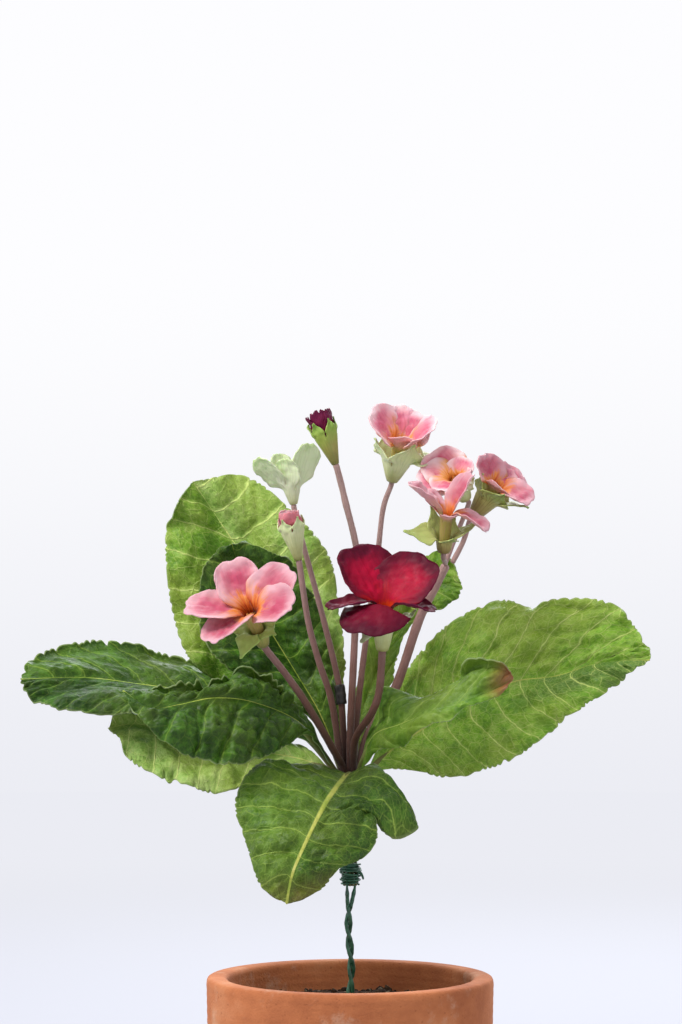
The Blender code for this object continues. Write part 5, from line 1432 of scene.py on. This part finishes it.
class PRIMROSE_OT_stage(bpy.types.Operator):
    """Make the pale floor, the soft lights and the camera"""

    bl_idname = "primrose.stage"
    bl_label = "Stage"

    def execute(self, context):
        settings = context.scene.primrose_stage
        crown = LIFT * MM

        # A round floor that fades into the backdrop behind
        angle = even_angles(FLOOR_SIDES)
        ring = rows_of(np.cos(angle), np.sin(angle), 0) * settings.floor_radius
        mesh = bpy.data.meshes.new("studio_floor")
        mesh.from_pydata((ring - (0, 0, FLOOR_BELOW)).tolist(), [], [list(range(FLOOR_SIDES))])
        floor = add_object("studio_floor", mesh)
        material, add = new_material("painted_studio_floor")
        place = add("place")
        cloud = add("noise", place, 1.5)
        greyer = mixed(settings.floor, (0.5, 0.5, 0.55), 0.1)
        paint = add("ramp", cloud, ramp=[(0, greyer), (1, settings.floor)])
        near = add("principled", named={"Base Color": paint, "Roughness": 0.9, "Specular IOR Level": 0.1})
        far = add("glow", settings.horizon)
        fade = add("smooth", add("length", place), settings.fade_from, settings.fade_to)
        add("material output", add("mix shaders", fade, near, far))
        mesh.materials.append(material)

        # The room lights the plant evenly, and shows as a backdrop that grows paler upwards
        world = bpy.data.worlds.new("pale_room")
        world.use_nodes = True
        world.node_tree.nodes.clear()
        add = partial(add_node, world.node_tree)
        rise = add("parts", add("way out"))[2]
        shade = add("smooth", rise, settings.pale_from, settings.pale_to)
        tones = add("mix", shade, settings.horizon, settings.backdrop)
        lit = add("background", (0.97, 0.975, 1), settings.daylight)
        seen = add("background", tones, 1)
        add("world output", add("mix shaders", add("light path"), lit, seen))
        context.scene.world = world

        target = (0, 0, crown + 0.03)
        area_light("key_softbox", (-0.7, -0.45, crown + 1), target, 0.55, settings.key, (1, 0.985, 0.96))
        area_light("fill_softbox", (1.2, -1, crown + 0.25), target, 1, settings.fill, (0.96, 0.98, 1))
        area_light("rim_softbox", (0.25, 0.95, crown + 0.75), target, 0.9, settings.rim, (0.93, 0.96, 1))

        camera = bpy.data.cameras.new("camera")
        camera.sensor_fit = "VERTICAL"
        camera.sensor_height = 36
        camera.lens = settings.lens
        camera.clip_start, camera.clip_end = 0.05, 50
        obj = add_object("camera", camera)
        obj.location = (settings.camera_right, -settings.distance, crown + settings.camera_above)
        obj.rotation_euler = (math.pi / 2, 0, 0)
        context.scene.camera = obj
        context.scene.view_settings.view_transform = "Standard"
        return {"FINISHED"}


class PRIMROSE_OT_pot(bpy.types.Operator):
    """Make the clay pot: a profile turned about Z, with faint throwing lines"""

    bl_idname = "primrose.pot"
    bl_label = "Pot"

    def execute(self, context):
        settings = context.scene.primrose_pot
        high, rim, foot = settings.height / MM, settings.rim_radius / MM, settings.foot_radius / MM
        proud, wall, edge = settings.rim_proud / MM, settings.wall / MM, settings.edge / MM
        band = high - settings.rim_band / MM
        inside = rim - proud - wall
        foot_inside = foot - 3.2
        profile = [
            (0, 0.9), (foot - 7, 0.9), (foot - 8, 0), (foot, 0), (rim - proud - 1.2, band),
            (rim - 0.4, band), (rim, high), (inside, high), (foot_inside, 5), (0, 5),
        ]
        radii = [0.8, 0.8, edge, 0.7, edge, edge * 1.2, edge * 1.2, 2]
        fine = resample(round_corners(profile, radii, 7), 0.7)

        def relief(angle, radius, height):
            around = np.stack([np.cos(angle) * radius, np.sin(angle) * radius, height + 0 * angle], axis=2)
            lines = 0.045 * np.sin(height * math.tau / 2.9 + 0.8 * np.sin(height / 7))
            return (lines + 0.14 * wobble(around, 46, 11) - 0.14) * smooth_step(radius / 8)

        shape = turned(fine, 180, relief)
        make_piece("clay_pot", shape, fired_clay(settings), "pot", 0)
        return {"FINISHED"}


class PRIMROSE_OT_soil(bpy.types.Operator):
    """Make the soil: a mounded, bumpy surface turned about Z, with loose crumbs on it"""

    bl_idname = "primrose.soil"
    bl_label = "Soil"

    def execute(self, context):
        settings = context.scene.primrose_pot
        edge_radius = float(SOIL_HIGH[0]) - 0.1
        top, low = float(SOIL_HIGH[2]), float(SOIL_LOW[2])
        rough = settings.soil_relief / MM

        def ground(x, y):
            """The soil's height: a mound that falls with the square of the radius, plus three sizes of
            lump."""
            place = rows_of(x, y)
            away = np.hypot(x, y) / edge_radius
            lumps = 0.8 * wobble(place, 13, 41) + 0.45 * wobble(place, 5, 42) + 0.3 * wobble(place, 2.2, 43)
            return top - 0.4 - 1.5 * away ** 2 + rough * lumps * (1 - 0.4 * away ** 4)

        radius = np.linspace(0, edge_radius, 110)
        side = np.linspace(0, 1, 14)[1:]
        wall = rows_of(edge_radius * (0.72 + 0.28 * side), low + (top - 4 - low) * side)
        foot = [(0, low), (edge_radius * 0.72, low)]
        profile = np.concatenate([foot, wall, rows_of(radius[:0:-1], top), [(0, top)]])
        shape = turned(profile, 150)
        points = shape.points.copy()
        up = points[:, 2] > top - 0.01
        points[up, 2] = ground(points[up, 0], points[up, 1])

        # Crumbs: one twenty-faced lump, stretched, turned and set down hundreds of times. Its corners
        # are those of three golden rectangles, and each three of them that are near make a face.
        draw = np.random.default_rng(44)
        golden = (1 + math.sqrt(5)) / 2
        four = [(-1, golden, 0), (1, golden, 0), (-1, -golden, 0), (1, -golden, 0)]
        corner = unit(np.concatenate([np.roll(four, turn, axis=1) for turn in range(3)]))
        near = corner @ corner.T > 0.4
        trios = [list(trio) for trio in combinations(range(len(corner)), 3) if near[np.ix_(trio, trio)].all()]
        flat = np.array([trio if np.linalg.det(corner[trio]) > 0 else trio[::-1] for trio in trios])
        count = settings.crumbs
        away = edge_radius * 0.97 * np.sqrt(draw.uniform(0, 1, count))
        angle = draw.uniform(0, math.tau, count)
        x, y = away * np.cos(angle), away * np.sin(angle)
        big = 0.35 + 0.9 * draw.uniform(0, 1, count) ** 2.5
        stretch = draw.uniform(0.6, 1.3, (count, 1, 3)) * big[:, None, None]
        jolt = 1 + draw.uniform(-0.22, 0.22, (count, 12, 1))
        spin = np.linalg.qr(draw.normal(size=(count, 3, 3)))[0]
        spin[np.linalg.det(spin) < 0, :, 0] *= -1
        lumps = np.einsum("nij,nkj->nki", spin, corner[None] * jolt * stretch)
        lumps += rows_of(x, y, ground(x, y) + 0.25 * big)[:, None]
        faces = (flat[None] + len(corner) * np.arange(count)[:, None, None]).reshape(-1, 3)
        crumbs = Shape(lumps.reshape(-1, 3), [faces], {})
        bed = join([Shape(points, shape.faces, {}), crumbs])
        make_piece("soil_bed", bed, potting_soil(settings), "soil", 0)
        return {"FINISHED"}


class PRIMROSE_OT_wires(bpy.types.Operator):
    """Make the two support wires and the wire that binds the bundle"""

    bl_idname = "primrose.wires"
    bl_label = "Wires and binding"

    def execute(self, context):
        settings = context.scene.primrose_wires
        coat = coated_wire("green_pvc_coated_wire", settings.green, settings.green_worn, 0.34)
        for name, node, slot, phase in (("twisted_wire_left", "support_wire_a", WIRE_SLOTS[0], 0),
                                        ("twisted_wire_right", "support_wire_b", WIRE_SLOTS[1], math.pi)):
            shape = support_wire(slot, phase, settings.wire_radius / MM)
            make_piece(name, shape, coat, node)
        make_piece("bundle_binding", binding(settings, 51), coat, "binding_wire")
        return {"FINISHED"}


class PRIMROSE_OT_leaves(bpy.types.Operator):
    """Make the nine leaves, each a pressed blade on a wired stalk"""

    bl_idname = "primrose.leaves"
    bl_label = "Leaves"

    def execute(self, context):
        settings = context.scene.primrose_leaves
        for number, leaf in enumerate(LEAVES):
            finish = FINISHES[leaf.name]
            shape = join([leaf_blade(leaf, finish, settings, 100 + 20 * number), leaf_stalk(leaf)])
            cloth = pressed_leaf_cloth("pressed_cloth_" + leaf.name, settings, finish)
            make_piece("pressed_" + leaf.name, shape, cloth, leaf.name)
        return {"FINISHED"}


SLEEVE_SIDES = 28


class PRIMROSE_OT_stems(bpy.types.Operator):
    """Make the flower stems, the umbel's three short stems and the black sleeve"""

    bl_idname = "primrose.stems"
    bl_label = "Stems"

    def execute(self, context):
        settings = context.scene.primrose_stems
        tape = stem_tape("paper_taped_stem", settings, (LIFT - 30) * MM, (LIFT + 100) * MM)
        for number, stem in enumerate(STEMS + PEDICELS):
            make_piece("taped_" + stem.name, stem_rod(stem, 300 + 5 * number), tape, stem.name)

        # The sleeve is a tube open at both ends: its outer wall and its bore, joined round the ends
        stem = next(s for s in STEMS if s.name == "stem_empty_calyx")
        curve = curve_through(stem_route(stem), 1200)
        low, high = settings.sleeve_from / MM, settings.sleeve_to / MM
        path = resample(curve[(curve[:, 2] >= low) & (curve[:, 2] <= high)], 0.25)
        ways = unit(np.gradient(path, axis=0))
        inner = stem.radius * 1.02
        outer = inner + settings.sleeve_wall / MM
        run = lengths_of(path)
        ends = np.minimum(smooth_step(run / 0.4), smooth_step(lengths_of(path[::-1])[::-1] / 0.4))
        wide = outer - 0.12 * (1 - ends) + 0.05 * np.sin(run * math.tau / 2.4)
        circle = circles(ways, SLEEVE_SIDES)
        outside = path[:, None] + wide[:, None, None] * circle
        bore = path[::-1, None] + inner * circle[::-1]
        rings = np.concatenate([outside, bore, outside[:1]])
        index = np.arange((len(rings) - 1) * SLEEVE_SIDES).reshape(-1, SLEEVE_SIDES)
        faces = [grid_faces(np.concatenate([index, index[:1]]), closed=True)]
        shape = Shape(rings[:-1].reshape(-1, 3), faces, {})
        black = coated_wire("black_pvc_tube", settings.sleeve, settings.sleeve_worn, 0.42)
        make_piece("black_sleeve", shape, black, "stem_sleeve")
        return {"FINISHED"}


class PRIMROSE_OT_calyxes(bpy.types.Operator):
    """Make the calyxes of the flowers and buds, and the one that has lost its flower"""

    bl_idname = "primrose.calyxes"
    bl_label = "Calyxes"

    def execute(self, context):
        settings = context.scene.primrose_flowers
        thick = settings.sepal_thickness / MM
        cloths = {}
        for number, head in enumerate(FLOWERS + BUDS):
            look = SEPAL_LOOKS[head.name]
            if look not in cloths:
                cloths[look] = sepal_cloth(f"pressed_sepal_cloth_{len(cloths) + 1}", look, settings)
            empty = head.name == "empty_calyx"
            foot = TUBE_RADIUS + TUBE_WALL_GAP if head in FLOWERS else CALYX_FOOT_RADIUS
            cup = (foot, head.calyx_radius, head.calyx_height)
            shape = whorl(head_base(head), head.axis, cup, head.sepals, BLUNT_SEPAL if empty else SEPAL,
                          thick, 0.9, 0.35 if empty else 0.2, 500 + 200 * number)
            node = "empty_calyx" if empty else "calyx_" + head.name
            make_piece("pressed_" + node, shape, cloths[look], node)
        return {"FINISHED"}


class PRIMROSE_OT_corollas(bpy.types.Operator):
    """Make the six open corollas, each a tube with five petals on its rim"""

    bl_idname = "primrose.corollas"
    bl_label = "Corollas"

    def execute(self, context):
        settings = context.scene.primrose_flowers
        cloths = {look: petal_cloth(name, look, settings) for name, look in (
            ("printed_pink_satin", PINK), ("printed_rose_satin", ROSE), ("printed_burgundy_satin", DARK))}
        for number, flower in enumerate(FLOWERS):
            base = head_base(flower) + unit(flower.axis) * TUBE_WALL_GAP
            cup = (TUBE_RADIUS, flower.throat, flower.tube - TUBE_WALL_GAP)
            shape = whorl(base, flower.axis, cup, flower.petals, PETAL, settings.petal_thickness / MM,
                          settings.ruffle / MM, settings.ragged / MM, 3000 + 200 * number)
            make_piece("satin_corolla_" + flower.name, shape, cloths[PETAL_LOOKS[flower.name]],
                       "corolla_" + flower.name)
        return {"FINISHED"}


class PRIMROSE_OT_stamens(bpy.types.Operator):
    """Make the style and the five anthers in the throat of each open flower"""

    bl_idname = "primrose.stamens"
    bl_label = "Stamens"

    def execute(self, context):
        flock = flocked_eye("flocked_pollen", "#6e3410", "#d08a2e")
        for number, flower in enumerate(FLOWERS):
            make_piece("flocked_stamens_" + flower.name, stamens_of(flower, 700 + 9 * number), flock,
                       "stamens_" + flower.name)
        return {"FINISHED"}


class PRIMROSE_OT_buds(bpy.types.Operator):
    """Make the two crumpled heads of petals that have not opened"""

    bl_idname = "primrose.buds"
    bl_label = "Buds"

    def execute(self, context):
        settings = context.scene.primrose_flowers
        for number, bud in enumerate(bud for bud in BUDS if bud.tint):
            out = unit(bud.axis)
            base = head_base(bud) + out * 2
            long = bud.head_to - bud.calyx_height - 0.5
            draw = np.random.default_rng(900 + number)
            rings = []
            for layer, (count, radius, share) in enumerate(((5, 2.4, 1), (4, 1.5, 0.93), (3, 0.8, 0.85))):
                lobes = [(layer * 40 + 360 / count * step + draw.uniform(-12, 12), draw.uniform(6, 22), -20,
                          long * share * draw.uniform(0.86, 1), radius * 1.4, 0.3)
                         for step in range(count)]
                cup = (0.7 + 0.3 * radius, radius, bud.calyx_height - 2)
                ragged = 1.1 if bud.tint == "dark" else 0.3
                rings.append(whorl(base, out, cup, lobes, BUD_PETAL, 0.25, settings.ruffle / MM * 0.8, ragged,
                                   4000 + 400 * number + 60 * layer))
            cloth = petal_cloth(f"crumpled_{bud.tint}_satin", PETAL_LOOKS[bud.name], settings)
            make_piece("crumpled_petals_" + bud.name, join(rings), cloth, "petals_" + bud.name)
        return {"FINISHED"}


OPERATORS = (
    PRIMROSE_OT_stage, PRIMROSE_OT_pot, PRIMROSE_OT_soil, PRIMROSE_OT_wires, PRIMROSE_OT_leaves,
    PRIMROSE_OT_stems, PRIMROSE_OT_calyxes, PRIMROSE_OT_corollas, PRIMROSE_OT_stamens, PRIMROSE_OT_buds,
)
SETTINGS = {
    "primrose_stage": PrimroseStageSettings, "primrose_pot": PrimrosePotSettings,
    "primrose_wires": PrimroseWireSettings, "primrose_leaves": PrimroseLeafSettings,
    "primrose_stems": PrimroseStemSettings, "primrose_flowers": PrimroseFlowerSettings,
}


class PRIMROSE_PT_panel(bpy.types.Panel):
    """Lists the pieces and their settings"""

    bl_label = "Potted primrose"
    bl_idname = "PRIMROSE_PT_panel"
    bl_space_type = "VIEW_3D"
    bl_region_type = "UI"
    bl_category = "Primrose"

    def draw(self, context):
        for operator in OPERATORS:
            self.layout.operator(operator.bl_idname)
        for name, group in SETTINGS.items():
            box = self.layout.box()
            for value in group.__annotations__:
                box.prop(getattr(context.scene, name), value)


def register():
    for group in (*SETTINGS.values(), *OPERATORS, PRIMROSE_PT_panel):
        bpy.utils.register_class(group)
    for name, group in SETTINGS.items():
        setattr(bpy.types.Scene, name, PointerProperty(type=group))


def unregister():
    for name in SETTINGS:
        delattr(bpy.types.Scene, name)
    for group in (PRIMROSE_PT_panel, *reversed(OPERATORS), *SETTINGS.values()):
        bpy.utils.unregister_class(group)


def main():
    register()
    for operator in OPERATORS:
        group, name = operator.bl_idname.split(".")
        getattr(getattr(bpy.ops, group), name)()


if __name__ == "__main__":
    main()
